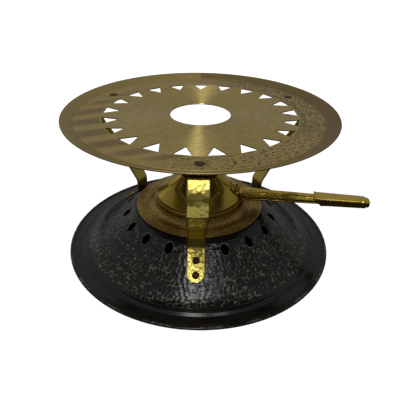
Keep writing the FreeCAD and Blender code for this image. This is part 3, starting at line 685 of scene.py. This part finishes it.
def vent_outline(azimuth):
    half_sizes = (VENT_LENGTH * FLANK_UP / 2, VENT_WIDTH / 2)
    return turn_outline(circle(0.0, 1.0, 28) * half_sizes + (VENT_R, 0.0), azimuth)


def vent_distance(points):
    """How far outside the nearest vent's edge a point lies, in half widths, about."""
    azimuth = azimuth_of(points) - VENT_TURN
    nearest = np.round(azimuth / VENT_PITCH) * VENT_PITCH
    across = radius_of(points) * np.sin(np.radians(azimuth - nearest)) / (VENT_WIDTH / 2)
    along = (radius_of(points) - VENT_R) / (VENT_LENGTH * FLANK_UP / 2)
    far = 9.0
    return np.where(np.isin(nearest % 360, LEG_AZIMUTHS), far, np.hypot(across, along) - 1.0)


def dent_shell(points, outside, outer):
    """Hammer the shell's flank in place; gives each point's share of ridge."""
    rng = np.random.default_rng(11)
    radius = radius_of(points)
    hammered = between(HAMMERED_FROM_R, 62.5, HAMMERED_TO_R - 1.6, HAMMERED_TO_R, radius)
    use = outer & (hammered > 0)
    reached = (outside[:, 0] > HAMMERED_FROM_R - 2.0) & (outside[:, 0] < HAMMERED_TO_R + 2.4)
    centres = ring_centres(outside[reached], SHELL_DENT, rng)
    level, ridge = Hammering(centres, SHELL_DENT, 0.11, rng).sample(points[use])
    falls = np.diff(outside[:, 1]) / np.maximum(np.diff(outside[:, 0]), 1e-6)
    slope = np.interp(radius[use], outside[1:, 0], falls)
    lift = level * hammered[use] / np.hypot(1.0, slope)
    points[use, :2] -= points[use, :2] / radius[use, None] * (lift * slope)[:, None]
    points[use, 2] += lift
    worn = np.zeros(len(points))
    worn[use] = ridge * hammered[use]
    return worn


def shell():
    """Blackened hammered dome: dense and dented outside, plain inside."""
    flank_r = FLANK_TOP_R + 1.0
    outside = drawn([
        (SHELL_R - 63.2, SEAT_Z), (SHELL_R - 58.0, SEAT_Z, 2.5), (flank_r, flank_z(flank_r)),
        (SWEEP_R, flank_z(SWEEP_R), 30.0), (CREASE_R - 2.1, 3.9, 1.5), (CREASE_R, 2.3, 0.8),
        (CREASE_R + 6.0, 1.3, 4.0), (SHELL_R, 1.46)], 0.62)
    inside = drawn([
        (SHELL_R, 0.3), (CREASE_R + 6.0, 0.3), (CREASE_R, 1.3), (SWEEP_R, 5.2),
        (flank_r, flank_z(flank_r) - 1.4), (SHELL_R - 58.4, SEAT_Z - 1.1),
        (SHELL_R - 62.1, SEAT_Z - 1.1), (SHELL_R - 62.1, SEAT_Z - 5.0),
        (SHELL_R - 63.2, SEAT_Z - 5.0), (SHELL_R - 63.2, SEAT_Z - 0.8)], 6.0)
    piece = turned("shell", np.vstack([outside, inside]), 900)
    azimuths = [a for a in range(0, 360, VENT_PITCH) if a not in LEG_AZIMUTHS]
    cut_prisms(piece, [vent_outline(a + VENT_TURN) for a in azimuths], 5.0, 50.0)
    points = coordinates(piece)
    radius = radius_of(points)
    height = np.interp(radius, outside[:, 0], outside[:, 1])
    outer = (np.abs(points[:, 2] - height) < 0.12) & (radius > FLANK_TOP_R)
    worn = dent_shell(points, outside, outer)
    points[:, 2] -= bell(GROOVE_R, 0.4, radius) * 0.22 * outer
    put_coordinates(piece, points)
    # The vents' edges are lightened partly as wear and partly as a painted highlight.
    worn = np.maximum(worn, 0.75 * bell(0.0, 0.16, vent_distance(points)) * outer)
    worn = np.maximum(worn, 0.35 * bell(58.3, 0.9, radius) * outer)
    put_value(piece, "ridge", worn)
    settle(piece, "stand", "black_shell", "base_shell", BLACK)


def rim_bead():
    """Wired edge round the foot, with small knocks and a crown lightened partly by wear and partly as
    a painted highlight.
    """
    wire = (FOOT_R - SHELL_R) / 2
    piece = spun("rim_bead_wire", 720, 0.35, [
        (SHELL_R, 0.0), (FOOT_R - wire * 0.6, 0.0, 0.3), (FOOT_R, wire * 0.6, 0.5),
        (FOOT_R, wire * 1.4, 0.8), (FOOT_R - wire * 0.6, wire * 1.9, 0.8),
        (SHELL_R + 0.3, wire * 1.9, 0.5), (SHELL_R, wire * 1.5),
    ])
    points = coordinates(piece)
    azimuth = np.radians(azimuth_of(points))
    knocks = 0.05 * np.sin(37 * azimuth + 1.0) * np.sin(11 * azimuth) + 0.04 * np.sin(83 * azimuth)
    points[:, 2] += knocks * smoothstep(0.8, 2.0, points[:, 2])
    put_coordinates(piece, points)
    # Painted highlight, partly wear: the bead's crown is made lighter.
    crown = smoothstep(1.7, 2.15, points[:, 2])
    put_value(piece, "ridge", 0.55 * crown * (0.6 + 0.4 * np.sin(19 * azimuth)))
    settle(piece, "stand", "black_shell", "rim_bead", BLACK)


def tooth_outline(number):
    """One triangular cut-out; the first lies at the back."""
    half = TOOTH_CHORD / 2
    corners = [(TOOTH_APEX_R, 0.0), (TOOTH_CHORD_R, half), (TOOTH_CHORD_R, -half)]
    return turn_outline(corners, 180.0 + 360.0 / TEETH * number)


def trailing_brown_bands(points, rng):
    """Brown bands that trail from the cut-outs on the plate's left side, all one way."""
    drift = radians(202.0)
    along = points[:, 0] * cos(drift) + points[:, 1] * sin(drift)
    aside = -points[:, 0] * sin(drift) + points[:, 1] * cos(drift)
    share = np.clip(aside / TOOTH_CHORD_R, -1.0, 1.0)
    beyond = along - TOOTH_CHORD_R * np.sqrt(1.0 - share ** 2)
    bearing = np.degrees(drift + np.arcsin(share))
    position = (bearing - 90.0) * TEETH / 360.0
    number = np.round(position)
    strength = rng.uniform(0.65, 1.0, TEETH)[(number % TEETH).astype(int)]
    band = 1.0 - smoothstep(0.17, 0.37, np.abs(position - number))
    run = between(-1.5, 1.0, 17.0, 30.0, beyond)
    return band * run * strength * between(-1.0, -0.95, 0.9, 1.0, share) * (along > 0)


def mark_plate(piece, points, rng):
    """Store where the plate is streaked, chased, dashed and brown."""
    radius = radius_of(points)
    azimuth = azimuth_of(points)
    streak = trailing_brown_bands(points, rng) * (points[:, 2] > PLATE_TOP_Z - 0.2)
    right = between(25.0, 60.0, 150.0, 178.0, azimuth)
    front = between(-22.0, -8.0, 48.0, 70.0, azimuth)
    flat = 1.0 - smoothstep(98.0, 100.5, radius)
    lip_brown = smoothstep(98.5, 101.0, radius) * (0.35 + 0.5 * smoothstep(20.0, 70.0, azimuth))
    put_value(piece, "streak", streak * (1.0 - smoothstep(PLATE_FLAT_R, PLATE_R, radius)))
    put_value(piece, "chased", np.maximum(right, 0.25) * flat)
    put_value(piece, "dash", front * flat)
    put_value(piece, "brown", np.maximum(right * 0.85 * (1.0 - front), lip_brown))


def plate():
    """Trivet plate: brushed centre, ring of cut-outs, chased outer ring and flared rim."""
    rng = np.random.default_rng(23)
    top = drawn([(PLATE_HOLE_R, PLATE_TOP_Z - 0.35), (PLATE_HOLE_R + 0.35, PLATE_TOP_Z),
                 (TOOTH_CHORD_R, PLATE_TOP_Z)], 3.4)
    ring = drawn([
        (TOOTH_CHORD_R, PLATE_TOP_Z), (PLATE_FLAT_R - 0.4, PLATE_TOP_Z),
        (PLATE_FLAT_R, PLATE_TOP_Z - 0.25, 0.3), (PLATE_FLAT_R + 0.5, PLATE_TOP_Z + 0.05, 0.3),
        (PLATE_R - 0.8, PLATE_LIP_Z, 0.4), (PLATE_R, PLATE_LIP_Z - 0.3, 0.3),
        (PLATE_R - 0.3, PLATE_LIP_Z - 1.15, 0.4), (PLATE_FLAT_R + 0.3, PLATE_LOW_Z, 5.0),
        (PLATE_FLAT_R - 2.0, PLATE_LOW_Z),
    ], 0.62)
    below = drawn([(PLATE_FLAT_R - 2.0, PLATE_LOW_Z), (81.0, PLATE_LOW_Z),
                   (80.4, PLATE_TOP_Z - 0.75), (PLATE_HOLE_R, PLATE_TOP_Z - 0.75)], 6.0)
    piece = turned("plate", np.vstack([top[:-1], ring[:-1], below]), 900)
    cut_prisms(piece, [tooth_outline(n) for n in range(TEETH)], 110.0, 130.0)
    points = coordinates(piece)
    radius = radius_of(points)
    chased = between(79.5, 82.0, 97.5, 99.6, radius)
    use = (chased > 0) & (points[:, 2] > PLATE_TOP_Z - 0.05)
    line = np.array([(78.0, PLATE_TOP_Z), (101.0, PLATE_TOP_Z)])
    centres = ring_centres(line, PLATE_DENT, rng, 0.34)
    level, ridge = Hammering(centres, PLATE_DENT, 0.10, rng).sample(points[use])
    points[use, 2] += level * chased[use]
    put_coordinates(piece, points)
    worn = np.zeros(len(points))
    worn[use] = ridge * between(82.5, 84.5, 95.5, 97.0, radius[use])
    put_value(piece, "ridge", worn)
    mark_plate(piece, points, rng)
    settle(piece, "stand", "plate_brass", "trivet_plate", PLATE_CENTRE, PLATE_RING, PLATE_EDGE)
    faces = piece.data.polygons
    chased_ring = radius_of(vectors(faces, "center") / MM) > TOOTH_CHORD_R + 1.5
    upright = np.abs(vectors(faces, "normal")[:, 2]) < 0.3
    faces.foreach_set("material_index", np.where(chased_ring, 1, 2 * upright).astype(np.int32))


def strap_line(pitch):
    """Centre line of a leg: tab under the plate, bow outwards to a knee, shin, heel and toe."""
    half = STRAP_SHEET / 2
    lift = half * FLANK_LENGTH
    tab_z = PLATE_LOW_Z - half
    knee_r = -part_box("leg_front")[0].y / MM - half
    return drawn([
        (81.5, tab_z), (knee_r - 8.3, tab_z, 3.0),
        (knee_r - 0.6, 110.6, 14.0), (knee_r, 97.0, 1.6), (104.5, 83.9, 30.0),
        (72.5, 56.5, 12.0), (63.6, 44.5, 8.0), (63.3, flank_z(63.3) + lift, 2.6),
        (84.3, flank_z(84.3) + lift),
    ], pitch)


def leg_lean(height):
    """How far the front leg stands to the left of the middle, more at its foot."""
    return np.interp(height, [20.0, 45.0, 97.0, 117.0], [2.0, 1.6, 0.8, 0.5])


def strap_halves(along):
    """Half the strap's width along it, with both ends cut round."""
    rounding = STRAP_WIDTH * 0.42
    past = np.maximum(rounding - np.minimum(along, along[-1] - along), 0.0)
    return STRAP_WIDTH / 2 - rounding + np.sqrt(rounding ** 2 - past ** 2)


def hammered_share(line, along):
    """How fully a strap is hammered along it: little on its tab and shin."""
    knee = along[np.argmax(line[:, 0])]
    heel = along[np.argmin(line[:, 0])]
    shin = smoothstep(-1.0, 2.0, along - knee) * (1.0 - smoothstep(-5.0, 0.0, along - heel))
    tab = (1.0 - smoothstep(107.0, 110.0, line[:, 0])) * (along < knee)
    return 1.0 - 0.85 * np.maximum(shin, tab)


def leg(side, azimuth, seed):
    """Strap bent along the leg's line, hammered above the knee and on the foot."""
    rng = np.random.default_rng(seed)
    line = strap_line(0.6)
    along = travel(line)
    ahead = np.gradient(line, axis=0)
    ahead /= np.linalg.norm(ahead, axis=1)[:, None]
    out = np.stack([-ahead[:, 1], ahead[:, 0]], axis=1)
    section = drawn([(-1.0, -1.0), (1.0, -1.0), (1.0, 1.0), (-1.0, 1.0)], 0.055, closed=True)
    across, over = section.T
    edge = np.minimum(1.0, (1.0 - np.abs(across)) * STRAP_WIDTH)
    belly = np.sqrt(1.0 - (1.0 - edge) ** 2) * 0.35 + 0.65
    thick = over * STRAP_SHEET / 2 * belly
    piece = swept(f"leg_strap_{side}", np.stack([
        line[:, :1] + out[:, :1] * thick, strap_halves(along)[:, None] * across,
        line[:, 1:] + out[:, 1:] * thick], axis=-1))
    points = coordinates(piece)
    row = np.repeat(np.arange(len(line)), len(section))
    across = np.tile(across, len(line))
    outer = np.tile(over > 0.98, len(line))
    dents = Hammering(strap_centres(line, rng), STRAP_DENT, 0.16, rng)
    level, ridge = dents.sample(points[outer])
    amount = hammered_share(line, along)[row[outer]]
    amount *= smoothstep(0.0, 0.12, 1.0 - np.abs(across[outer]))
    points[outer, 0] += out[row[outer], 0] * level * amount
    points[outer, 2] += out[row[outer], 1] * level * amount
    if side == "front":
        points[:, 1] -= leg_lean(points[:, 2])
    put_coordinates(piece, points)
    worn = 0.8 * smoothstep(0.93, 0.99, np.abs(across))
    worn[outer] = np.maximum(worn[outer], ridge * amount)
    put_value(piece, "ridge", worn)
    turn_piece(piece, azimuth)
    settle(piece, "stand", "strap_brass", f"leg_{side}", STRAP, crease=50.0)


def legs():
    for number, side in enumerate(("front", "back_right", "back_left")):
        leg(side, LEG_AZIMUTHS[number], 31 + number)


def rivet_head(radius, height, skirt, seed):
    """A hand-closed rivet head on the origin: a low dome with flats, standing along +Z."""
    piece = spun("rivet_head", 48, 0.16, [
        (0.02, height), (radius * 0.45, height * 0.95, radius * 0.3),
        (radius * 0.88, height * 0.55, radius * 0.25), (radius, 0.0),
        (radius * 0.94, -skirt), (0.02, -skirt),
    ])
    rng = np.random.default_rng(seed)
    points = coordinates(piece)
    low = min(1.0, 2.2 * height / radius)
    for _ in range(5):
        turn = rng.uniform(0, 2 * pi)
        tilt = rng.uniform(0.15, 0.4) * low
        flat = np.array([cos(turn) * tilt, sin(turn) * tilt, 1.0])
        over = points @ flat - height * rng.uniform(0.93, 1.0) - radius * tilt * 0.25
        points[:, 2] -= np.maximum(over, 0.0) * 0.7
    put_coordinates(piece, points)
    return piece


def leaning(out, up):
    """Rows that tip points drawn along +Z outwards, by the sine and cosine of the tilt."""
    return np.array([[up, 0.0, -out], [0.0, 1.0, 0.0], [out, 0.0, up]])


def plate_rivets():
    heads = []
    for number, azimuth in enumerate(LEG_AZIMUTHS):
        head = rivet_head(PLATE_RIVET_HEAD, 0.45, 0.5, 40 + number)
        place = turn_points(np.array([PLATE_RIVET_R, 0.0, PLATE_TOP_Z]), azimuth)
        put_coordinates(head, coordinates(head) + place)
        heads.append(head)
    settle_rivets("plate_rivet_heads", heads, "stand", "plate_rivets")


def leg_rivets():
    lift = STRAP_SHEET + 0.02
    heads = []
    for azimuth in LEG_AZIMUTHS:
        for radius in LEG_RIVET_RADII:
            head = rivet_head(LEG_RIVET_HEAD, 0.95, 0.7, 60 + len(heads))
            place = np.array([radius + lift * FLANK_OUT, 0.0, flank_z(radius) + lift * FLANK_UP])
            if azimuth == 0.0:
                place[1] -= leg_lean(place[2])
            points = coordinates(head) @ leaning(FLANK_OUT, FLANK_UP) + place
            put_coordinates(head, turn_points(points, azimuth))
            heads.append(head)
    settle_rivets("leg_rivet_heads", heads, "stand", "leg_rivets")


# ---- burner

def burner_cover():
    """Spun cover: beaded flange, cove and raised wall."""
    flange_z = FLANGE_LOW_Z + 0.9
    piece = spun("burner_cover_spun", 480, 0.7, [
        (FLANGE_R - 0.6, FLANGE_LOW_Z), (FLANGE_R, FLANGE_LOW_Z + 0.35, 0.3),
        (FLANGE_R, flange_z + 0.12, 0.3), (FLANGE_R - 0.9, flange_z + 0.16, 0.35),
        (FLANGE_R - 1.5, flange_z - 0.16, 0.3), (FLANGE_R - 2.4, flange_z, 0.6),
        (47.4, flange_z + 0.35, 3.0), (44.8, flange_z - 0.15, 1.6), (42.9, flange_z + 0.9, 1.0),
        (41.6, flange_z + 2.4, 1.2), (40.2, flange_z + 3.4, 1.6), (40.2, COVER_TOP_Z, 0.5),
        (2.0, COVER_TOP_Z), (2.0, COVER_TOP_Z - 1.0), (39.2, COVER_TOP_Z - 1.0),
        (39.2, flange_z + 1.6), (42.0, FLANGE_LOW_Z),
    ])
    port = circle(PORT_CENTRE_R, PORT_R, 24)
    ports = [turn_outline(port, 90.0 + 360.0 / PORTS * number) for number in range(PORTS)]
    cut_prisms(piece, ports, COVER_TOP_Z - 3.0, COVER_TOP_Z + 3.0)
    settle(piece, "burner", "burner_brass", "burner_cover", COVER_BRASS)


def knurled_collar():
    """Collar with a slanted bead knurl over a narrow groove."""
    low = COLLAR_LOW_Z
    top = COLLAR_TOP_Z
    piece = spun("collar_knurl", KNURL_BEADS * 8, 0.16, [
        (COLLAR_R - 2.1, low), (COLLAR_R - 0.35, low, 0.15), (COLLAR_R - 0.1, low + 0.35, 0.2),
        (COLLAR_R - 0.55, low + 0.6, 0.1), (COLLAR_R - 0.55, low + 0.75, 0.1),
        (COLLAR_R - 0.2, low + 0.95, 0.25), (COLLAR_R - 0.2, top - 0.3, 0.4),
        (COLLAR_R - 0.9, top, 0.3), (COLLAR_R - 2.1, top),
    ])
    points = coordinates(piece)
    radius = radius_of(points)
    band = smoothstep(low + 0.8, low + 1.1, points[:, 2]) * (radius > COLLAR_R - 0.9)
    slant = (points[:, 2] - low) * 2.6
    wave = np.sin(KNURL_BEADS * np.radians(azimuth_of(points)) + slant)
    points[:, :2] *= (1.0 + 0.2 * wave * band / radius)[:, None]
    put_coordinates(piece, points)
    settle(piece, "regulator", "polished_brass", "knurled_collar", HOOD_BRASS)


# ---- hood and handle

def hood():
    """Spun hood, softly dented, with a rolled foot and an open mouth."""
    piece = spun("hood_spun", 420, 0.8, [
        (SPIGOT_R - 1.1, COLLAR_TOP_Z - 1.8), (SPIGOT_R, COLLAR_TOP_Z - 1.8),
        (SPIGOT_R, HOOD_LOW_Z), (HOOD_FOOT_R, HOOD_LOW_Z, 0.35),
        (HOOD_FOOT_R - 0.1, HOOD_LOW_Z + 0.95, 0.45), (HOOD_WAIST_R, HOOD_WAIST_Z, 40.0),
        (HOOD_MOUTH_R + 0.9, HOOD_TOP_Z, 0.8), (HOOD_MOUTH_R, HOOD_TOP_Z, 0.5),
        (HOOD_MOUTH_R, HOOD_TOP_Z - 1.5), (HOOD_WAIST_R - 0.8, HOOD_WAIST_Z - 1.1, 38.0),
        (SPIGOT_R - 1.1, HOOD_LOW_Z + 0.2),
    ])
    points = coordinates(piece)
    azimuth = np.radians(azimuth_of(points))
    radius = radius_of(points)
    swell = smoothstep(HOOD_LOW_Z + 1.5, HOOD_LOW_Z + 4.0, points[:, 2])
    wobble = (0.05 * np.sin(5 * azimuth + 0.6) + 0.035 * np.sin(9 * azimuth + radius * 0.25)
              + 0.02 * np.sin(17 * azimuth - radius * 0.5))
    points[:, 2] += wobble * swell
    put_coordinates(piece, points)
    settle(piece, "hood", "polished_brass", "hood_cone", HOOD_BRASS)


def hood_radius(height):
    """Radius of the hood's lower flank at a height."""
    share = (height - HOOD_LOW_Z - 0.95) / (HOOD_WAIST_Z - HOOD_LOW_Z - 0.95)
    return HOOD_FOOT_R - 0.1 + (HOOD_WAIST_R - HOOD_FOOT_R + 0.1) * share


def bracket():
    """Tab bent to the hood's curve, with a tongue that runs out under the arm's top."""
    half = 7.8
    corner = 1.8
    rows = 15
    rings = []
    for across in np.linspace(-half, half, 33):
        past = max(0.0, abs(across) - (half - corner))
        trim = corner - sqrt(corner ** 2 - past ** 2)
        height = np.linspace(51.6 + trim * 0.5, 57.6 - trim, rows)
        outwards = np.sqrt(hood_radius(height) ** 2 - across ** 2) + 0.20
        near = np.column_stack([outwards, np.full(rows, across), height + 0.14])
        far = near + (0.71, 0.0, 0.70)
        rings.append(np.vstack([near, far[::-1]]))
    tab = swept("tab", rings)
    top = ARM_TOP_Z - 1.1
    root_r = hood_radius(55.5)
    bend_r = hood_radius(top)
    outline = drawn([
        (root_r, 55.6), (bend_r + 0.4, top - 1.0), (46.5, top - 1.0), (46.5, top),
        (bend_r + 1.8, top, 1.0), (root_r + 1.2, 56.2)], 0.8, closed=True)
    sides = [np.insert(outline, 1, across, axis=1) for across in np.linspace(-4.5, 4.5, 7)]
    settle_handle(joined("handle_bracket_tab", [tab, swept("tongue", sides)]), "handle_bracket")


def bracket_rivets():
    heads = []
    for side, height in ((-6.1, 54.4), (6.1, 53.4)):
        head = rivet_head(1.5, 0.6, 0.8, 80 + len(heads))
        radius = hood_radius(height)
        swing = asin(side / radius) * 0.6
        spin = np.array([[cos(swing), sin(swing), 0.0],
                         [-sin(swing), cos(swing), 0.0], [0.0, 0.0, 1.0]])
        place = np.array([sqrt(radius ** 2 - side ** 2) + 0.95, side, height + 0.85])
        points = coordinates(head) @ leaning(0.705, 0.705) @ spin + place
        put_coordinates(head, turn_points(points, HANDLE_AZIMUTH))
        heads.append(head)
    settle_rivets("bracket_rivet_heads", heads, "hood", "bracket_rivets")


def arm_section(along):
    """Section of the arm across it: a domed top sheet over a stepped front edge, open below."""
    share = (along - ARM_ROOT) / (ARM_TIP - ARM_ROOT)
    wide = np.interp(along, [ARM_ROOT, 40.0, 44.0, 58.0, ARM_TIP], [4.6, 6.3, 6.9, 5.7, 4.6])
    middle = (ARM_TOP_Z + ARM_LOW_Z) / 2
    deep = (ARM_TOP_Z - ARM_LOW_Z) / 2 * (1.0 - 0.34 * share)
    top = middle + deep
    low = middle - deep
    ridge = np.interp(along, [ARM_ROOT, 44.0, 53.0, 80.0, ARM_TIP], [-0.92, -0.82, -0.34, -0.22, -0.2])
    crest = ridge * wide
    dome = np.interp(along, [ARM_ROOT, 50.0, 62.0, ARM_TIP], [0.6, 1.0, 2.0, 1.8])
    step = deep * 0.62
    gauge = 0.8
    return drawn([
        (wide, low, 0.2), (wide, top - 0.5 * dome, 0.9), (wide * 0.72, top, 1.2),
        (crest, top - 0.1, dome), (crest - 0.3 * (wide + crest), top - step * 0.85, 0.35),
        (-wide + 0.15, top - step, 0.5), (-wide, low + deep * 0.72, 0.2),
        (-wide + 0.45, low + deep * 0.58, 0.1), (-wide + 0.45, low + deep * 0.46, 0.1),
        (-wide, low + deep * 0.34, 0.25), (-wide + 0.1, low, 0.2),
        (-wide + gauge + 0.5, low, 0.1), (-wide + gauge + 0.6, middle - 0.1),
        (wide - gauge - 0.6, middle - 0.1), (wide - gauge, low, 0.1),
    ], 4.0, closed=True, arc_steps=5)


def arm():
    """Folded sheet arm, wide and round at its root and narrowing outwards."""
    stations = np.concatenate([
        np.linspace(ARM_ROOT, ARM_ROOT + 3.0, 8), np.linspace(ARM_ROOT + 3.8, 62.0, 34),
        np.linspace(63.5, ARM_TIP - 2.0, 50)])
    rings = [np.insert(arm_section(along), 0, along, axis=1) for along in stations]
    piece = swept("handle_arm_folded", rings)
    points = coordinates(piece)
    clear_z = COLLAR_TOP_Z + 0.5
    over_collar = (points[:, 0] < COLLAR_R + 1.2) & (points[:, 2] < clear_z)
    points[over_collar, 2] = clear_z
    ripple = 0.05 * np.sin(points[:, 0] * 0.9) + 0.04 * np.sin(points[:, 0] * 1.7 + points[:, 1])
    points[:, 2] += ripple * (points[:, 2] > ARM_TOP_Z - 1.8)
    put_coordinates(piece, points)
    settle_handle(piece, "handle_arm", crease=30.0)


def arm_rivet():
    head = joined("arm_rivet_head", [rivet_head(1.9, 0.4, 0.8, 91)])
    put_coordinates(head, coordinates(head) + (ARM_ROOT + 8.0, 1.0, ARM_TOP_Z - 0.05))
    settle_handle(head, "arm_rivet")


def sleeve_section(along):
    """Section of the sleeve: a rounded oblong, flat above, drawn in at its closed end."""
    share = (along - SLEEVE_START) / (SLEEVE_END - SLEEVE_START)
    wide = 6.35 - 0.75 * share
    deep = SLEEVE_TOP_Z - SLEEVE_MIDDLE_Z - 0.45 * share
    low = SLEEVE_MIDDLE_Z - deep
    top = SLEEVE_MIDDLE_Z + deep
    return drawn([(wide, low, 1.2), (wide, top, 1.5), (-wide, top, 1.9), (-wide, low, 1.0)],
                 1.2, closed=True, arc_steps=9)


def sleeve():
    """Closed grip over the arm: oblique thick-lipped mouth, a crease near its end."""
    mouth = SLEEVE_START + np.array([0.0, 0.15, 0.5, 1.0, 1.4, 1.8, 2.4])
    tail = SLEEVE_END - np.array([5.0, 4.6, 4.2, 3.8, 2.5, 1.4, 0.7, 0.3, 0.0])
    grip = np.linspace(SLEEVE_START + 4.0, SLEEVE_END - 6.0, 26)
    rings = []
    for along in np.concatenate([mouth, grip, tail]):
        inside = along - SLEEVE_START
        lip = 0.22 * (1.0 - smoothstep(0.6, 1.9, inside)) - 0.28 * (inside == 0.0)
        crease = -0.22 * bell(SLEEVE_END - 4.4, 0.35, along)
        closing = -1.1 * smoothstep(SLEEVE_END - 1.6, SLEEVE_END, along) ** 2
        grow = lip + crease + closing
        across, up = sleeve_section(along).T
        up = SLEEVE_MIDDLE_Z + (up - SLEEVE_MIDDLE_Z) * (1.0 + grow / 3.4)
        slant = np.clip(SLEEVE_TOP_Z - 1.2 - up, 0.0, None) * 0.95
        shift = slant * (1.0 - smoothstep(0.0, 14.0, inside))
        rings.append(np.column_stack([along + shift, across * (1.0 + grow / 6.0), up]))
    settle_handle(swept("handle_sleeve_grip", rings), "handle_sleeve")


def tongue():
    """Rounded end plug with a small hole through it."""
    start = ARM_TIP + 0.6
    half = 5.0
    thick = 2.3
    outline = drawn([(start, -half), (TONGUE_END, -half, 2.6), (TONGUE_END, half, 2.6),
                     (start, half)], 0.5, closed=True)
    centre = np.array([(start + TONGUE_END) / 2, 0.0])
    rings = []
    for lift, inset in ((-thick, 0.45), (-thick + 0.15, 0.15), (-thick + 0.5, 0.0),
                        (thick - 0.5, 0.0), (thick - 0.15, 0.15), (thick, 0.45)):
        ring = (outline - centre) * (1.0 - inset / half) + centre
        rings.append(np.insert(ring, 2, SLEEVE_MIDDLE_Z - 0.2 + lift, axis=1))
    piece = swept("handle_tongue_plug", rings)
    cut_prisms(piece, [circle(TONGUE_END - 1.1, 0.5, 20)], 40.0, 60.0)
    settle_handle(piece, "handle_tongue")


def finish_kept_nodes():
    """Materials of the CAD nodes that stay in view inside the stand and the burner."""
    kept = {
        "reservoir_bowl": COVER_BRASS, "wick_pad": WOOL, "wick_gauze": GAUZE,
        "gauze_ring": HANDLE_BRASS, "damper_pivot": HANDLE_BRASS, "damper_disc": HOOD_BRASS,
        "rivet_burrs": COPPER,
    }
    for node, material in kept.items():
        mesh = frame["nodes"][node].data
        mesh.materials.clear()
        mesh.materials.append(material)


# ---- studio

def floor():
    """White table top that glows evenly where the camera sees it. Its own colour is dark grey, and in
    reflections its glow is painted light: a pool of light in front and a dim band behind. Under the
    shell it does not glow at all, a painted shade.
    """
    size = 6000.0
    corners = [(-size, -size, 0.0), (size, -size, 0.0), (size, size, 0.0), (-size, size, 0.0)]
    piece = new_mesh("floor", corners, [(0, 1, 2, 3)])
    look = Finish("floor_white")
    # Painted shade: the floor does not glow under the shell.
    outside = look.span(look.radius(), SHELL_R - 4.0, SHELL_R)
    # Painted pool of light in front of the stand, seen only in reflections.
    light_pool_distance = look.add("ShaderNodeVectorMath", look.place, (-0.02, -0.31, 0.0),
                    operation="DISTANCE").outputs["Value"]
    front = look.span(light_pool_distance, 0.09, 0.14, 0.40, 0.01)
    # Painted glow behind the stand, seen only in reflections.
    back = look.span(look.y, 0.10, 0.25, 0.0, 0.20)
    seen = look.add("ShaderNodeLightPath").outputs["Is Camera Ray"]
    backdrop_and_painted_glow = look.math("ADD", seen, look.math("ADD", front, back))
    piece.data.materials.append(look.done(
        Base_Color=(0.06, 0.06, 0.06, 1.0), Roughness=0.9, Specular_IOR_Level=0.0,
        Emission_Color=(1.0, 1.0, 1.0, 1.0),
        Emission_Strength=look.math("MULTIPLY", backdrop_and_painted_glow, outside)))


def lamp(name, place, aim, width, depth, radiance):
    """Rectangular softbox; its power follows from its radiance and size."""
    light = bpy.data.lights.new(name, "AREA")
    light.shape = "RECTANGLE"
    light.size = width
    light.size_y = depth
    light.energy = radiance * pi * width * depth
    stand = linked(name, light)
    stand.location = place
    direction = Vector(aim) - Vector(place)
    stand.rotation_euler = direction.to_track_quat("-Z", "Y").to_euler()


def lamps():
    """Three softboxes that hang overhead, and a weak one low behind on the left."""
    lamp("softbox_front", (-0.08, -0.80, 1.5), (-0.08, -0.80, 0.0), 0.24, 0.90, 6.4)
    lamp("softbox_above", (-0.06, 0.10, 1.5), (-0.06, 0.10, 0.0), 0.20, 0.90, 1.8)
    lamp("softbox_back", (-1.00, 0.95, 0.42), (0.0, 0.0, 0.05), 0.50, 0.35, 0.2)
    lamp("softbox_right", (0.43, -0.90, 1.5), (0.43, -0.90, 0.0), 0.10, 0.26, 7.0)


def world():
    """Dim grey room, lighter above and behind, pale where the camera looks straight at it."""
    room = bpy.data.worlds.new("room")
    bpy.context.scene.world = room
    room.use_nodes = True
    nodes = Nodes(room.node_tree)
    toward = nodes.add("ShaderNodeTexCoord").outputs["Generated"]
    slope = nodes.add("ShaderNodeVectorMath", toward, (-0.03, 0.077, 0.167),
                      operation="DOT_PRODUCT").outputs["Value"]
    level = nodes.math("MAXIMUM", nodes.math("ADD", slope, 0.14), 0.02)
    grey = nodes.fill(nodes.tree.nodes["Background"], Color=(1.0, 0.98, 0.95, 1.0), Strength=level)
    pale = nodes.add("ShaderNodeBackground", (1.0, 1.0, 1.0, 1.0))
    seen = nodes.add("ShaderNodeLightPath").outputs["Is Camera Ray"]
    choose = nodes.add("ShaderNodeMixShader", seen, grey.outputs[0], pale.outputs[0])
    nodes.fill(nodes.tree.nodes["World Output"], Surface=choose.outputs[0])


def camera():
    """The viewpoint: nearly straight in front, a good thirty degrees up."""
    place = Vector((0.0, -0.34214, 0.24633))
    aim = Vector((0.00068, 0.0, 0.03932))
    roll = radians(0.89)
    data = bpy.data.cameras.new("camera")
    data.lens = 39.94
    data.sensor_width = 36.0
    data.clip_start = 0.01
    view = linked("camera", data)
    turn = (aim - place).to_track_quat("-Z", "Y").to_matrix().to_4x4()
    view.matrix_world = Matrix.Translation(place) @ turn @ Matrix.Rotation(roll, 4, "Z")
    bpy.context.scene.camera = view


for make in (shell, rim_bead, plate, legs, plate_rivets, leg_rivets, burner_cover, knurled_collar,
             hood, bracket, bracket_rivets, arm, arm_rivet, sleeve, tongue, finish_kept_nodes,
             floor, lamps, world, camera):
    make()
bpy.context.scene.view_settings.view_transform = "Standard"
